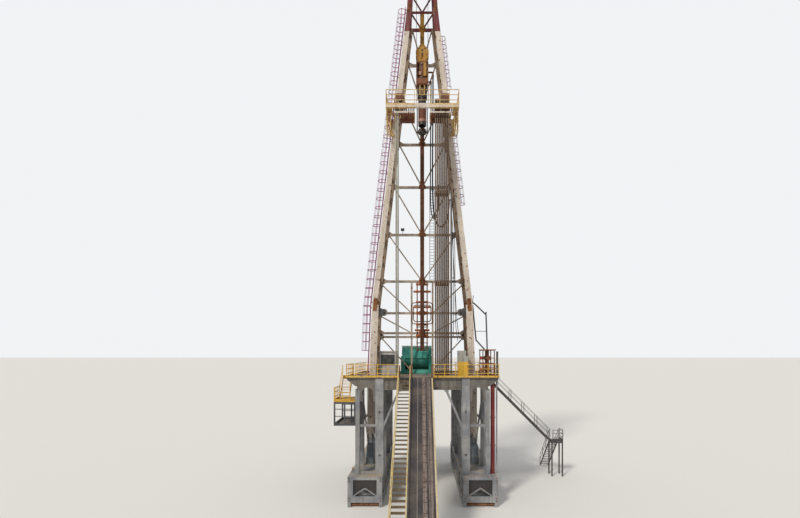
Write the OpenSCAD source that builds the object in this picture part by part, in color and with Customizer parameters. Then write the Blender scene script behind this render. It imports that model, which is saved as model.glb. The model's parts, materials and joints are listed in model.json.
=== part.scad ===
// Land drilling rig at half scale: drill floor on base boxes, tapering lattice mast,
// travelling block and top drive on a guide rail. Millimetres, +Z up, V-door towards -Y.
// Sizes are those of the half-scale model; the real rig is twice as large each way.

/* [Drill floor] */
// Height of the drill floor above the ground
floor_h = 5335; // [5200:5:5600]
// Width of the drill floor across the rig
floor_w = 6450; // [6400:10:6800]
// Reach of the drill floor in front of the well
floor_front = 3000; // [2980:10:3200]
// Reach of the drill floor behind the well
floor_back = 3250; // [3240:10:3400]
// Thickness of the deck plates
deck_t = 40; // [25:5:45]
// Depth of the floor girders under the deck
girder_h = 485; // [400:5:500]

/* [Base boxes] */
// Inner side of a base box, from the well
box_in = 1675; // [1600:5:1680]
// Outer side of a base box, from the well
box_out = 3100; // [3080:5:3200]
// Reach of the base boxes in front of the well
box_front = 3350; // [3300:10:3600]
// Reach of the base boxes behind the well
box_back = 4150; // [4000:10:4400]
// Height of the skid runners
skid_h = 190; // [120:5:220]
// Height of the base box top above the ground
box_top = 1250; // [1150:5:1300]
// Size of the box chords and posts
chord = 130; // [100:5:160]

/* [Columns] */
// Width of the broad inner columns
column_w = 350; // [300:5:360]
// Distance of the inner columns from the well
column_in = 1650; // [1600:5:1680]
// Width of the outer posts
post_w = 180; // [140:5:200]
// Distance of the outer posts from the well
post_in = 2660; // [2640:5:2700]
// Plate thickness of the rolled sections
section_t = 26; // [18:1:32]
// Pin hole through a column
pin_hole_d = 84; // [60:2:100]

/* [Mast] */
// Height of the mast feet above the ground
mast_foot_z = 2350; // [2200:10:2500]
// Height of the knee where the taper begins
knee_z = 8650; // [8500:10:8700]
// Height where the painted top section begins
top_z = 22640; // [22500:10:22700]
// Height of the crown frame
crown_z = 26050; // [25800:10:26400]
// Outer half-width of the mast at its feet
foot_half = 2616; // [2580:2:2620]
// Outer half-width of the mast at the knee
knee_half = 2365; // [2300:5:2400]
// Outer half-width of the mast at the top section
top_half = 715; // [690:5:740]
// Outer half-width of the mast at the crown
crown_half = 560; // [540:5:600]
// Centre of the front legs before the well
leg_front = 750; // [720:5:800]
// Centre of the rear legs behind the well
leg_rear = 650; // [640:5:700]
// Width of a leg below the knee
leg_w_low = 320; // [280:5:330]
// Width of a leg above the knee
leg_w_mid = 240; // [200:5:250]
// Width of a leg in the top section
leg_w_top = 170; // [150:5:190]
// Depth of a leg from front to back
leg_d = 220; // [180:5:230]
// Size of the lattice bars
lace = 60; // [40:2:70]
// Depth of the horizontal beams of the rear face
beam_h = 110; // [80:5:130]

/* [Racking board] */
// Height of the racking board
board_z = 17500; // [17300:10:17700]
// Reach of the racking board in front of the well
board_front = 1800; // [1750:10:1900]
// Half-width of the racking board
board_half = 1650; // [1640:10:1750]
// Half-width of the slot for the travelling block
slot_half = 340; // [320:5:350]
// Number of fingers on each side
fingers = 12; // [10:1:12]
// Spacing of the fingers
finger_pitch = 84; // [80:1:86]
// Thickness of a finger
finger_w = 22; // [16:1:24]

/* [Pipe] */
// Diameter of the drill pipe
pipe_d = 56; // [50:1:60]
// Diameter of the tool joints
joint_d = 78; // [66:1:82]
// Rows of racked stands from front to back
stand_rows = 4; // [2:1:5]
// Diameter of a drill collar
collar_d = 58; // [54:1:60]

/* [Ramp and stairs] */
// Slope of the ramp and of the stair beside it, in degrees
ramp_slope = 35; // [34:0.5:38]
// Right side of the ramp, from the well
ramp_right = 425; // [400:5:460]
// Left side of the ramp, from the well
ramp_left = 510; // [480:5:515]
// Width of a stair
stair_w = 475; // [420:5:500]
// Height of a stair riser
riser = 121; // [100:1:130]
// Height of the handrails
rail_h = 560; // [500:10:600]
// Distance between rail posts
rail_pitch = 435; // [350:5:500]

/* [Travelling gear] */
// Height of the sheave pin of the travelling block
block_z = 21000; // [20900:10:21100]
// Width of the travelling block
block_w = 624; // [600:4:640]
// Radius of the block sheaves at the line
sheave_r = 270; // [250:2:275]
// Number of sheaves in the block
sheaves = 5; // [3:1:6]
// Distance between sheaves
sheave_pitch = 56; // [50:1:60]
// Diameter of the drilling line
line_d = 19; // [14:1:24]
// Width of the guide rail
rail_w = 200; // [160:5:210]
// Front face of the guide rail behind the well
rail_y = 400; // [390:5:410]
// Depth of the guide rail
rail_d = 150; // [120:5:155]
// Radius of the opening in the rotary table
rotary_r = 238; // [200:2:260]

/* [Hidden] */

// Running gap between pieces that meet, and a slack for pieces that pass.
fit = 0.4;
pass = 4;

grey = "#8f8c88";
cream = "#d8c9b5";
yellow = "#cfa63c";
teal = "#2f7f78";
rust = "#6b4226";
red = "#7a1f24";
orange = "#b8762f";
black = "#222222";

half_floor = floor_w / 2;
deck_bottom = floor_h - deck_t;
girder_z = deck_bottom - girder_h;
box_w = box_out - box_in;
box_len = box_front + box_back;
post_out = post_in + post_w;
column_out = column_in + column_w;

// Where the well stands in the part's own frame: the middle of the box round all of it.
ramp_run = floor_h / tan(ramp_slope);
ramp_toe = floor_front + ramp_run;
landing_drop = 985;
landing_z = floor_h - landing_drop;
landing_out = half_floor + 525;
right_drop = floor_h - 1850;
right_slope = 45;
right_landing_z = floor_h - right_drop;
right_landing_in = half_floor + right_drop / tan(right_slope) + fit;
right_landing_w = 600;
right_reach = right_landing_in + right_landing_w;
well_x = (landing_out - right_reach) / 2;
well_y = (ramp_toe - box_back) / 2;

// Levels of the rear face, from the drill floor to the painted top section.
back_low = [7200, 8400, 10000];
back_high = [12350, 14750, 16900, 18900, 20900];
back_split = back_low[2] + beam_h / 2;
panel_d = 100;
back_front = leg_rear + leg_d / 2 - section_t - fit - panel_d;
portal_half = 530;

// Routes of the two hoses, chosen by hand, in the frame of the well.
kelly_d = 70;
kelly_route = [
    [530, 150, 20049.6], [530, 150, 19900], [531, 152, 19650], [532, 156, 19300], [531, 162, 18800],
    [526, 170, 18100], [520, 180, 17300], [514, 190, 16400], [510, 200, 15500], [512, 210, 14800],
    [520, 220, 14200], [540, 234, 13700], [590, 252, 13260], [670, 272, 12940], [780, 302, 12740],
    [910, 332, 12670], [1040, 364, 12720], [1160, 394, 12880], [1260, 420, 13150], [1320, 438, 13480],
    [1345, 450, 13800], [1345, 450, 13999.2]
];
loop_d = 56;
loop_route = [
    [438, 320, 19789.6], [438, 320, 19600], [437, 322, 19300], [434, 328, 18900],
    [430, 340, 18300], [424, 352, 17500], [418, 366, 16600], [414, 380, 15700], [412, 392, 14900],
    [414, 402, 14300], [424, 412, 13840], [450, 424, 13470], [500, 434, 13230], [570, 444, 13120],
    [645, 454, 13120], [715, 462, 13230], [770, 470, 13440], [802, 477, 13740], [813, 480, 14020],
    [815, 480, 14299.6]
];

function lerp(a, b, t) = a + (b - a) * t;

// Outer half-width of the mast at a height.
function mast_half(z) =
    z < knee_z ? lerp(foot_half, knee_half, (z - mast_foot_z) / (knee_z - mast_foot_z))
    : z < top_z ? lerp(knee_half, top_half, (z - knee_z) / (top_z - knee_z))
    : lerp(top_half, crown_half, (z - top_z) / (crown_z - top_z));

module at_well() { translate([well_x, well_y, 0]) children(); }
module left() { mirror([1, 0, 0]) children(); }

// Box from one corner to the other.
module block(a, b) { translate(a) cube(b - a); }

// Square bar between two points.
module bar(a, b, w) {
    v = b - a;
    l = norm(v);
    translate(a) rotate([0, acos(v[2] / l), atan2(v[1], v[0])])
        translate([-w / 2, -w / 2, 0]) cube([w, w, l]);
}

// Round rod between two points.
module rod(a, b, d, sides = 24) {
    v = b - a;
    l = norm(v);
    translate(a) rotate([0, acos(v[2] / l), atan2(v[1], v[0])]) cylinder(h = l, d = d, $fn = sides);
}

// Rolled section: flanges w wide, d apart over all, plates t thick.
module section(w, d, t) {
    for (s = [-1, 1]) translate([-w / 2, s * (d - t) / 2 - t / 2]) square([w, t]);
    translate([-t / 2, -d / 2]) square([t, d]);
}
module beam_x(x0, x1, y, z, w, d, t) {
    translate([x0, y, z]) rotate([90, 0, 90]) linear_extrude(x1 - x0) section(w, d, t);
}
module beam_y(x, y0, y1, z, w, d, t) {
    translate([x, y0, z]) rotate([-90, 0, 0]) linear_extrude(y1 - y0) section(w, d, t);
}
module beam_z(x, y, z0, z1, w, d, t) {
    translate([x, y, z0]) linear_extrude(z1 - z0) section(w, d, t);
}

// Sweeps a round tube along a route through its own points.
function unit(v) = v / norm(v);
function smooth_point(p, i, t) =
    let (n = len(p) - 1, a = p[max(i - 1, 0)], b = p[i], c = p[min(i + 1, n)], d = p[min(i + 2, n)])
    0.5 * (2 * b + (c - a) * t + (2 * a - 5 * b + 4 * c - d) * t * t
        + (3 * b - a - 3 * c + d) * t * t * t);
function smooth_route(p, steps) = concat(
    [for (i = [0 : len(p) - 2]) for (k = [0 : steps - 1]) smooth_point(p, i, k / steps)],
    [p[len(p) - 1]]);
module tube(route, d, steps, sides) {
    p = smooth_route(route, steps);
    n = len(p);
    up = [0, 1, 0];
    rings = [for (i = [0 : n - 1])
        let (dir = unit(p[min(i + 1, n - 1)] - p[max(i - 1, 0)]), u = unit(cross(up, dir)), v = cross(dir, u))
        for (k = [0 : sides - 1]) p[i] + d / 2 * (cos(360 * k / sides) * u + sin(360 * k / sides) * v)];
    sides_faces = [for (i = [0 : n - 2]) for (k = [0 : sides - 1])
        let (a = i * sides + k, b = i * sides + (k + 1) % sides)
        each [[a, a + sides, b], [b, a + sides, b + sides]]];
    ends = [[for (k = [0 : sides - 1]) k], [for (k = [sides - 1 : -1 : 0]) (n - 1) * sides + k]];
    polyhedron(points = rings, faces = concat(sides_faces, ends), convexity = 6);
}

// Base boxes

// End face of a base box: side plates, inverted V over a dark opening, sill plate.
plate_t = 20;
module box_end() {
    cheek = 225;
    sill = 260;
    rise = 330;
    bottom = skid_h;
    for (x = [box_in, box_out - cheek]) block([x, 0, bottom], [x + cheek, plate_t, box_top]);
    block([box_in, 0, bottom], [box_out, plate_t, bottom + sill]);
    mid = (box_in + box_out) / 2;
    for (s = [-1, 1])
        bar([mid, 40, bottom + sill + rise], [mid + s * (box_w / 2 - cheek), 40, bottom + sill], 45);
    translate([0, plate_t + 65, 0]) rotate([90, 0, 0]) linear_extrude(plate_t) polygon([
        [box_in + cheek / 2, bottom + sill], [mid, bottom + sill + rise],
        [box_out - cheek / 2, bottom + sill],
        [box_out - cheek / 2, box_top - plate_t], [box_in + cheek / 2, box_top - plate_t]]);
}
module base_box() {
    bays = 6;
    pitch = (box_len - chord) / bays;
    for (x = [box_in, box_out - chord]) {
        block([x, -box_front, 0], [x + chord, box_back, skid_h]);
        block([x, -box_front, skid_h], [x + chord, box_back, skid_h + chord]);
        block([x, -box_front, box_top - chord], [x + chord, box_back, box_top]);
        for (i = [0 : bays]) translate([x, -box_front + i * pitch, skid_h]) cube([chord, chord, box_top - skid_h]);
        for (i = [0 : bays - 1]) {
            y0 = -box_front + i * pitch + chord / 2;
            z = [skid_h + chord / 2, box_top - chord / 2];
            bar([x + chord / 2, y0, z[i % 2]], [x + chord / 2, y0 + pitch, z[1 - i % 2]], 70);
        }
    }
    for (i = [0 : bays]) for (z = [skid_h, box_top - chord])
        translate([box_in, -box_front + i * pitch, z]) cube([box_w, chord, chord]);
    block([box_in, -box_front, box_top - plate_t], [box_out, box_back, box_top]);
    translate([0, -box_front, 0]) box_end();
    mirror([0, 1, 0]) translate([0, -box_back, 0]) box_end();
}
module base_box_right() { color(grey) at_well() base_box(); }
module base_box_left() { color(grey) at_well() left() base_box(); }

// Pedestals with clevis ears that hold the mast feet

ear_t = 40;
lug_w = 150;
foot_pin_d = 120;
function leg_x(z, w) = mast_half(z) - w / 2;
foot_x = leg_x(mast_foot_z + 200, leg_w_low);
pin_z = mast_foot_z + 90;
module pedestal() {
    beam = 300;
    shoe = 350;
    y0 = -leg_front - 420;
    y1 = leg_rear + 420;
    block([foot_x - shoe / 2, y0, box_top], [foot_x + shoe / 2, y1, box_top + beam]);
    for (y = [-leg_front, leg_rear]) {
        tower = mast_foot_z - 260;
        translate([foot_x - 150, y, 0]) rotate([90, 0, 90]) linear_extrude(300) polygon([
            [-330, box_top + beam], [330, box_top + beam], [170, tower], [-170, tower]]);
        for (s = [-1, 1]) translate([foot_x + s * (lug_w / 2 + pass + ear_t / 2) - ear_t / 2, y, 0])
            rotate([90, 0, 90]) linear_extrude(ear_t) union() {
                translate([-130, tower]) square([260, pin_z - tower]);
                translate([0, pin_z]) circle(r = 130, $fn = 48);
            }
        translate([foot_x - lug_w / 2 - pass - ear_t - 25, y, pin_z]) rotate([0, 90, 0])
            cylinder(h = lug_w + 2 * pass + 2 * ear_t + 50, d = foot_pin_d, $fn = 48);
    }
}
module mast_pedestal_right() { color(grey) at_well() pedestal(); }
module mast_pedestal_left() { color(grey) at_well() left() pedestal(); }

// Columns between the base boxes and the floor girders

column_ys = [-floor_front + 225, -1400, 1300, floor_back - 200];
post_ys = [-floor_front + 150, -1400, 1300, floor_back - 150];
inner_x = column_in + column_w / 2;
outer_x = post_in + post_w / 2;
brace_w = 90;
brace_y = -floor_front + 110;
brace_foot_z = 2900;
brace_head_x = 1010;
module column_frame() {
    z0 = box_top;
    z1 = girder_z - fit;
    shoe_h = 200;
    for (i = [0 : 3]) {
        d = i == 0 || i == 3 ? column_w : 200;
        difference() {
            union() {
                beam_z(inner_x, column_ys[i], z0, z1, column_w, d, section_t);
                block([inner_x - column_w / 2, column_ys[i] - d / 2, z0], [inner_x + column_w / 2, column_ys[i] + d / 2, z0 + shoe_h]);
                block([inner_x - column_w / 2, column_ys[i] - d / 2, z1 - 60], [inner_x + column_w / 2, column_ys[i] + d / 2, z1]);
            }
            for (z = [2065, 3880]) translate([inner_x, column_ys[i] - d, z]) rotate([-90, 0, 0])
                cylinder(h = 2 * d, d = pin_hole_d, $fn = 32);
        }
        beam_z(outer_x, post_ys[i], z0, z1, post_w, post_w, section_t);
        block([post_in, post_ys[i] - post_w / 2, z0], [post_out, post_ys[i] + post_w / 2, z0 + 120]);
        // Ties from column to post, low and high.
        for (z = [z0 + 60, 3300])
            if (i == 0 || i == 3) block([inner_x, post_ys[i] - 50, z - 50], [outer_x, post_ys[i] + 50, z + 50]);
    }
    // Diagonals along both rows.
    for (i = [0 : 2]) {
        za = i == 0 ? z0 + 250 : z1 - 280 - 50 * i;
        zb = i == 0 ? z1 - 300 : z0 + 250 + 40 * i;
        bar([inner_x, column_ys[i], za], [inner_x, column_ys[i + 1], zb], 110 - 8 * i);
        bar([outer_x, post_ys[i], za], [outer_x, post_ys[i + 1], zb], 90 - 8 * i);
    }
    for (x = [inner_x, outer_x]) block([x - 38, column_ys[0], 3262], [x + 38, column_ys[3], 3338]);
    // Knee brace from the front column up to a seat under the front floor girder.
    bar([inner_x, brace_y, brace_foot_z], [brace_head_x, brace_y, z1 - 40], brace_w);
    block([brace_head_x - 90, brace_y - brace_w / 2 - 5, z1 - 75], [brace_head_x + 90, brace_y + brace_w / 2 + 5, z1]);
}
module column_frame_right() { color(grey) at_well() column_frame(); }
module column_frame_left() { color(grey) at_well() left() column_frame(); }

// Girders under the deck on each side, with the arched plate between column and post

module side_girder() {
    y0 = -floor_front + 50;
    y1 = floor_back - 20;
    zc = girder_z + girder_h / 2;
    beam_y(inner_x, y0, y1, zc, 300, girder_h, section_t);
    beam_y(outer_x, y0, y1, zc, post_w, girder_h, section_t);
    for (y = [-1700, 0, 1300, floor_back - 150])
        beam_x(inner_x, outer_x, y, zc, 160, girder_h - 100, 20);
    // Arched plate at the front and at the back.
    arch_in = column_out + fit;
    arch_out = post_in - fit;
    arch_mid = (arch_in + arch_out) / 2;
    arch_r = 230;
    spring = girder_z - 130;
    for (y = [y0 + 45, y1 - 20]) translate([0, y, 0]) rotate([90, 0, 0]) linear_extrude(section_t) difference() {
        union() {
            translate([arch_in, girder_z - 480]) square([arch_out - arch_in, 480 + girder_h]);
            translate([inner_x, girder_z + 5]) square([outer_x - inner_x, girder_h - 10]);
        }
        translate([arch_mid, spring]) circle(r = arch_r, $fn = 64);
        translate([arch_mid - arch_r, girder_z - 500]) square([2 * arch_r, spring - girder_z + 500]);
    }
    // Brackets that carry the deck beyond the outer girder.
    for (i = [0 : 7]) translate([0, y0 + 60 + i * (y1 - y0 - 120) / 7, 0]) rotate([90, 0, 0])
        linear_extrude(20) polygon([
            [outer_x, deck_bottom], [half_floor - 30, deck_bottom], [half_floor - 30, deck_bottom - 60],
            [post_out, deck_bottom - 330], [outer_x, deck_bottom - 330]]);
}
module side_girder_right() { color(grey) at_well() side_girder(); }
module side_girder_left() { color(grey) at_well() left() side_girder(); }

// Beams between the two sides

well_bay = 520;
module cross_girders() { color(grey) at_well() {
    reach = inner_x - 150 - fit;
    inner_web = well_bay + 110 + section_t / 2 + fit;
    outer_web = inner_x - section_t / 2 - fit;
    zc = girder_z + girder_h / 2;
    front_y = -floor_front + 110;
    rear_y = floor_back - 100;
    for (y = [front_y, rear_y]) {
        beam_x(-reach, reach, y, zc, 120, girder_h, section_t);
        for (s = [-1, 1]) for (k = [1 : 4])
            block([s * k * 360 - 8, y - 60, girder_z], [s * k * 360 + 8, y + 60, deck_bottom]);
    }
    for (s = [-1, 1]) beam_y(s * (well_bay + 110), front_y + 60 + fit, rear_y - 60 - fit, zc, 180, girder_h, section_t);
    for (y = [-well_bay, well_bay])
        beam_x(-well_bay - 20 + fit, well_bay + 20 - fit, y, zc, 140, girder_h, section_t);
    for (s = [-1, 1]) for (y = [-1700, 0, 1700])
        if (s > 0) beam_x(inner_web, outer_web, y, zc, 120, girder_h - 120, 20);
        else beam_x(-outer_web, -inner_web, y, zc, 120, girder_h - 120, 20);
} }

// Deck plates, laid round the rotary table and the mast legs

hole = 400;
deck_x = [0, hole, 2140, 2540, half_floor];
module floor_deck() { color(grey) at_well() {
    seam = fit / 2;
    leg_gap = leg_d / 2 + 50;
    for (y = [[-floor_front, -hole], [hole, floor_back]])
        block([-hole + seam, y[0], deck_bottom], [hole - seam, y[1] - seam, floor_h]);
    for (s = [-1, 1]) scale([s, 1, 1]) {
        block([deck_x[1] + seam, -floor_front, deck_bottom], [deck_x[2] - seam, floor_back, floor_h]);
        for (y = [[-floor_front, -leg_front - leg_gap], [-leg_front + leg_gap, leg_rear - leg_gap], [leg_rear + leg_gap, floor_back]])
            block([deck_x[2] + seam, y[0], deck_bottom], [deck_x[3] - seam, y[1], floor_h]);
        block([deck_x[3] + seam, -floor_front, deck_bottom], [deck_x[4], floor_back, floor_h]);
    }
} }

module rotary_table() { color(grey) at_well() translate([0, 0, deck_bottom]) difference() {
    union() {
        block([-hole + fit, -hole + fit, 0], [hole - fit, hole - fit, deck_t]);
        translate([0, 0, -200]) cylinder(h = 200, r = 330, $fn = 96);
        cylinder(h = deck_t + 30, r = 350, $fn = 96);
    }
    translate([0, 0, -250]) cylinder(h = deck_t + 320, r = rotary_r, $fn = 96);
    translate([0, 0, deck_t + 10]) cylinder(h = 40, r = 290, $fn = 96);
} }

// Handrails

// Flat panel of rail along +X from the origin: posts, three bars and a toe board.
module rail_panel(l, h = rail_h) {
    n = max(1, round(l / rail_pitch));
    for (i = [0 : n]) translate([i * (l - 26) / n, 0, 0]) cube([26, 26, h]);
    for (k = [1 : 3]) translate([0, 2, h * k / 3 - 22]) cube([l, 22, 22]);
    cube([l, 12, 80]);
}
rail_edge = 26 + 4;
front_gap = [-1005, ramp_right + 35];
module front_rail_right() { color(yellow) at_well()
    translate([front_gap[1], -floor_front + 4, floor_h + fit]) rail_panel(half_floor - 4 - front_gap[1]); }
module front_rail_left() { color(yellow) at_well()
    translate([-half_floor + 4, -floor_front + 4, floor_h + fit]) rail_panel(front_gap[0] - 4 + half_floor); }
side_start = -floor_front + rail_edge + 6;
side_end = floor_back - rail_edge - 6;
right_stair_y = 1300;
left_stair_y = -1000;
top_step = 520;
module side_rail_right() { color(yellow) at_well()
    for (y = [[side_start, right_stair_y - 10], [right_stair_y + stair_w + 20, side_end]])
        translate([half_floor - 4, y[0], floor_h + fit]) rotate([0, 0, 90]) rail_panel(y[1] - y[0]); }
module side_rail_left() { color(yellow) at_well()
    for (y = [[side_start, left_stair_y - 10], [left_stair_y + top_step, side_end]])
        translate([-half_floor + rail_edge, y[0], floor_h + fit]) rotate([0, 0, 90]) rail_panel(y[1] - y[0]); }
module rear_rail() { color(yellow) at_well()
    translate([-half_floor + 4, floor_back - rail_edge, floor_h + fit]) rail_panel(floor_w - 8); }

// V-door ramp and stairs

// Sloping slab seen from the side: offsets a and b from the surface, cut at floor edge and ground.
module slope_slab(drop, slope, a, b) {
    run = drop / tan(slope);
    polygon([[0, drop + min(a, 0)], [0, drop + b], [-(drop + b) / tan(slope), 0], [-run, 0], [-run, max(a, 0)],
        [-max(a, 0) / tan(slope), drop]]);
}
// Rail that lies on the ramp, seen from the side, a high.
module skid_rail(drop, slope, a) {
    run = drop / tan(slope);
    lift = fit / cos(slope);
    polygon([[0, drop + lift], [-run, lift], [-run, a], [-a / tan(slope), drop]]);
}
module along_slope(x0, x1) { translate([x0, 0, 0]) rotate([90, 0, 90]) linear_extrude(x1 - x0) children(); }
module v_door_ramp() { color("#5a545c") at_well() translate([0, -floor_front - fit, 0]) {
    side = 60;
    along_slope(-ramp_left + side + fit, ramp_right - side - fit) slope_slab(floor_h, ramp_slope, 0, -50);
    for (x = [[-ramp_left, -ramp_left + side], [ramp_right - side, ramp_right]])
        along_slope(x[0], x[1]) slope_slab(floor_h, ramp_slope, 55, -260);
    // Skid rails on the plate.
    for (x = [[-215, -185], [-30, 110], [170, 200]])
        along_slope(x[0], x[1]) skid_rail(floor_h, ramp_slope, 32);
    for (k = [1 : 7]) {
        y = -k * ramp_run / 8;
        z = floor_h + y * tan(ramp_slope) - 190;
        block([-ramp_left + side + fit, y - 50, z - 50], [ramp_right - side - fit, y + 50, z + 50]);
    }
} }

// A flight that goes down towards -Y from the origin: treads, stringers and two handrails.
module flight(drop, slope, w) {
    n = round(drop / riser);
    rise = drop / n;
    going = rise / tan(slope);
    stringer = 22;
    for (x = [0, w - stringer]) along_slope(x, x + stringer) slope_slab(drop, slope, 30, -120);
    for (i = [1 : n - 1])
        translate([stringer + fit, -i * going - 10, drop - i * rise - 16]) cube([w - 2 * stringer - 2 * fit, going * 0.8, 16]);
    for (x = [-20 - fit, w + fit]) handrail(x, drop, slope);
}
module handrail(x, drop, slope) {
    run = drop / tan(slope);
    n = max(1, round(run / (1.6 * rail_pitch)));
    for (i = [0 : n]) {
        y = -40 - i * (run - 110) / n;
        z = drop + y * tan(slope);
        block([x, y - 12, max(z - 60, 0)], [x + 20, y + 12, z + rail_h - 20]);
    }
    for (h = [rail_h - 40, rail_h / 2]) along_slope(x, x + 20) polygon([
        [-40, drop + h - 20 - 40 * tan(slope)], [-40, drop + h + 2 - 40 * tan(slope)],
        [-run + 70, h + 2 + 70 * tan(slope)], [-run + 70, h - 20 + 70 * tan(slope)]]);
}
module ramp_stair() { color(yellow) at_well()
    translate([-ramp_left - 25 - stair_w, -floor_front - fit, 0]) flight(floor_h, ramp_slope, stair_w); }

// Side landing on the left, carried from the outer posts, with an open skid below it
landing_front = -floor_front + 50;
landing_back = left_stair_y - landing_drop;
module left_landing() { color(yellow) at_well() {
    x0 = -landing_out;
    x1 = -post_out - fit;
    y1 = left_stair_y - 2;
    skid_z = landing_z - 1050;
    deck_under = landing_z - 30 - fit;
    block([x0, landing_front, landing_z - 30], [x1, y1, landing_z]);
    // Open skid under the deck: bearers, posts, rails and a floor plate.
    for (y = [landing_front, y1 - 78]) {
        for (z = [skid_z, deck_under - 100]) block([x0, y, z], [x1, y + 78, z + 100]);
        for (x = [x0, (x0 + x1) / 2 - 30, x1 - 60]) block([x, y, skid_z], [x + 60, y + 60, deck_under]);
        for (z = [skid_z + 380, skid_z + 680]) block([x0, y + 20, z], [x1, y + 50, z + 30]);
    }
    for (x = [x0, x1 - 60]) for (z = [skid_z, deck_under - 100])
        block([x, landing_front, z], [x + 60, y1, z + 100]);
    block([x0, landing_front, skid_z], [x1, y1, skid_z + 20]);
    // Rails round the landing.
    translate([x0 + 26 + fit, landing_front, landing_z + fit]) rail_panel(-half_floor + 150 - x0);
    translate([x0 + 26, landing_front, landing_z + fit]) rotate([0, 0, 90]) rail_panel(landing_back - landing_front + 300);
} }
module landing_stair() { color(yellow) at_well() {
    w = landing_out - half_floor - 80;
    x0 = -half_floor - 20 - 2 * fit - w - 20;
    // Top step level with the drill floor.
    block([x0, left_stair_y + fit, floor_h - 30], [-half_floor - fit, left_stair_y + top_step, floor_h]);
    block([x0, left_stair_y + fit, floor_h - 160], [-half_floor - fit, left_stair_y + 60, floor_h - 30]);
    block([x0, left_stair_y + top_step - 60, floor_h - 160], [-half_floor - fit, left_stair_y + top_step, floor_h - 30]);
    translate([x0 + 20, left_stair_y, landing_z + fit]) flight(landing_drop - fit, right_slope, w);
} }

// Stair on the right, down to a landing on legs and on to the ground
module right_stair() { color("#cbb87a") at_well()
    translate([half_floor + fit, right_stair_y, right_landing_z]) rotate([0, 0, 90]) flight(right_drop, right_slope, stair_w); }
module right_landing() { color("#cbb87a") at_well() {
    x0 = right_landing_in + fit;
    y0 = right_stair_y - 60;
    y1 = right_stair_y + stair_w + 60;
    z = right_landing_z;
    under = z - 30 - fit;
    block([x0, y0, z - 30], [right_reach, y1, z]);
    for (y = [y0, y1 - 60]) block([x0, y, under - 100], [right_reach, y + 60, under]);
    for (x = [x0, right_reach - 60]) {
        block([x, y0, under - 100], [x + 60, y1, under]);
        for (y = [y0, y1 - 60]) block([x, y, 0], [x + 60, y + 60, under]);
    }
    translate([right_reach, y0 + 26 + fit, z + fit]) rotate([0, 0, 90]) rail_panel(y1 - y0 - 26 - fit);
    translate([right_landing_in + 60, y0, z + fit]) rail_panel(right_reach - right_landing_in - 60);
    translate([right_reach - 60, y1 + fit, 0]) rotate([0, 0, 180]) flight(z, right_slope, stair_w);
} }

// Mast

// Leg of H section from one height to another, cut level at both ends.
module leg(z0, z1, w, y) {
    x0 = leg_x(z0, w);
    x1 = leg_x(z1, w);
    a = atan2(x1 - x0, z1 - z0);
    reach = 60;
    intersection() {
        translate([x0, y, z0]) rotate([0, a, 0]) translate([0, 0, -reach])
            linear_extrude((z1 - z0) / cos(a) + 2 * reach) section(w, leg_d, section_t);
        translate([0, y - leg_d, z0]) cube([2 * foot_half, 2 * leg_d, z1 - z0]);
    }
}

// Ties and zigzag between the front and rear leg of one side.
module side_lacing(levels, w) {
    for (z = levels) bar([leg_x(z, w), -leg_front - 30, z], [leg_x(z, w), leg_rear + 30, z], lace);
    for (i = [0 : len(levels) - 2]) {
        za = levels[i];
        zb = levels[i + 1];
        ya = i % 2 == 0 ? -leg_front : leg_rear;
        yb = i % 2 == 0 ? leg_rear + 15 : -leg_front - 15;
        bar([leg_x(za, w), ya, za], [leg_x(zb, w), yb, zb], lace - 6);
    }
}
function steps(z0, z1, n) = [for (i = [0 : n]) lerp(z0, z1, i / n)];

foot_levels = [2950, 3900, 4720];
low_levels = steps(5700, 8560, 3);
high_levels = steps(8800, 22400, 13);

module mast_side_lower() {
    body_z = mast_foot_z + 260;
    difference() {
        union() {
            for (y = [-leg_front, leg_rear]) {
                leg(body_z, knee_z - fit, leg_w_low, y);
                // Lug between the ears of the pedestal.
                translate([foot_x - lug_w / 2, y, 0]) rotate([90, 0, 90]) linear_extrude(lug_w) union() {
                    translate([-110, pin_z]) square([220, body_z + 60 - pin_z]);
                    translate([0, pin_z]) circle(r = 110, $fn = 48);
                }
                block([foot_x - leg_w_low / 2 - 12, y - leg_d / 2 - 10, body_z], [foot_x + leg_w_low / 2 + 12, y + leg_d / 2 + 10, body_z + 65]);
            }
            side_lacing(foot_levels, leg_w_low);
            side_lacing(low_levels, leg_w_low);
        }
        for (y = [-leg_front, leg_rear]) translate([foot_x - lug_w, y, pin_z]) rotate([0, 90, 0])
            cylinder(h = 2 * lug_w, d = foot_pin_d + 2 * fit, $fn = 48);
    }
}
module mast_side_upper() {
    for (y = [-leg_front, leg_rear]) leg(knee_z, top_z - fit, leg_w_mid, y);
    side_lacing(high_levels, leg_w_mid);
}
module mast_right_lower() { color(cream) at_well() mast_side_lower(); }
module mast_left_lower() { color(cream) at_well() left() mast_side_lower(); }
module mast_right_upper() { color(cream) at_well() mast_side_upper(); }
module mast_left_upper() { color(cream) at_well() left() mast_side_upper(); }

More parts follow.
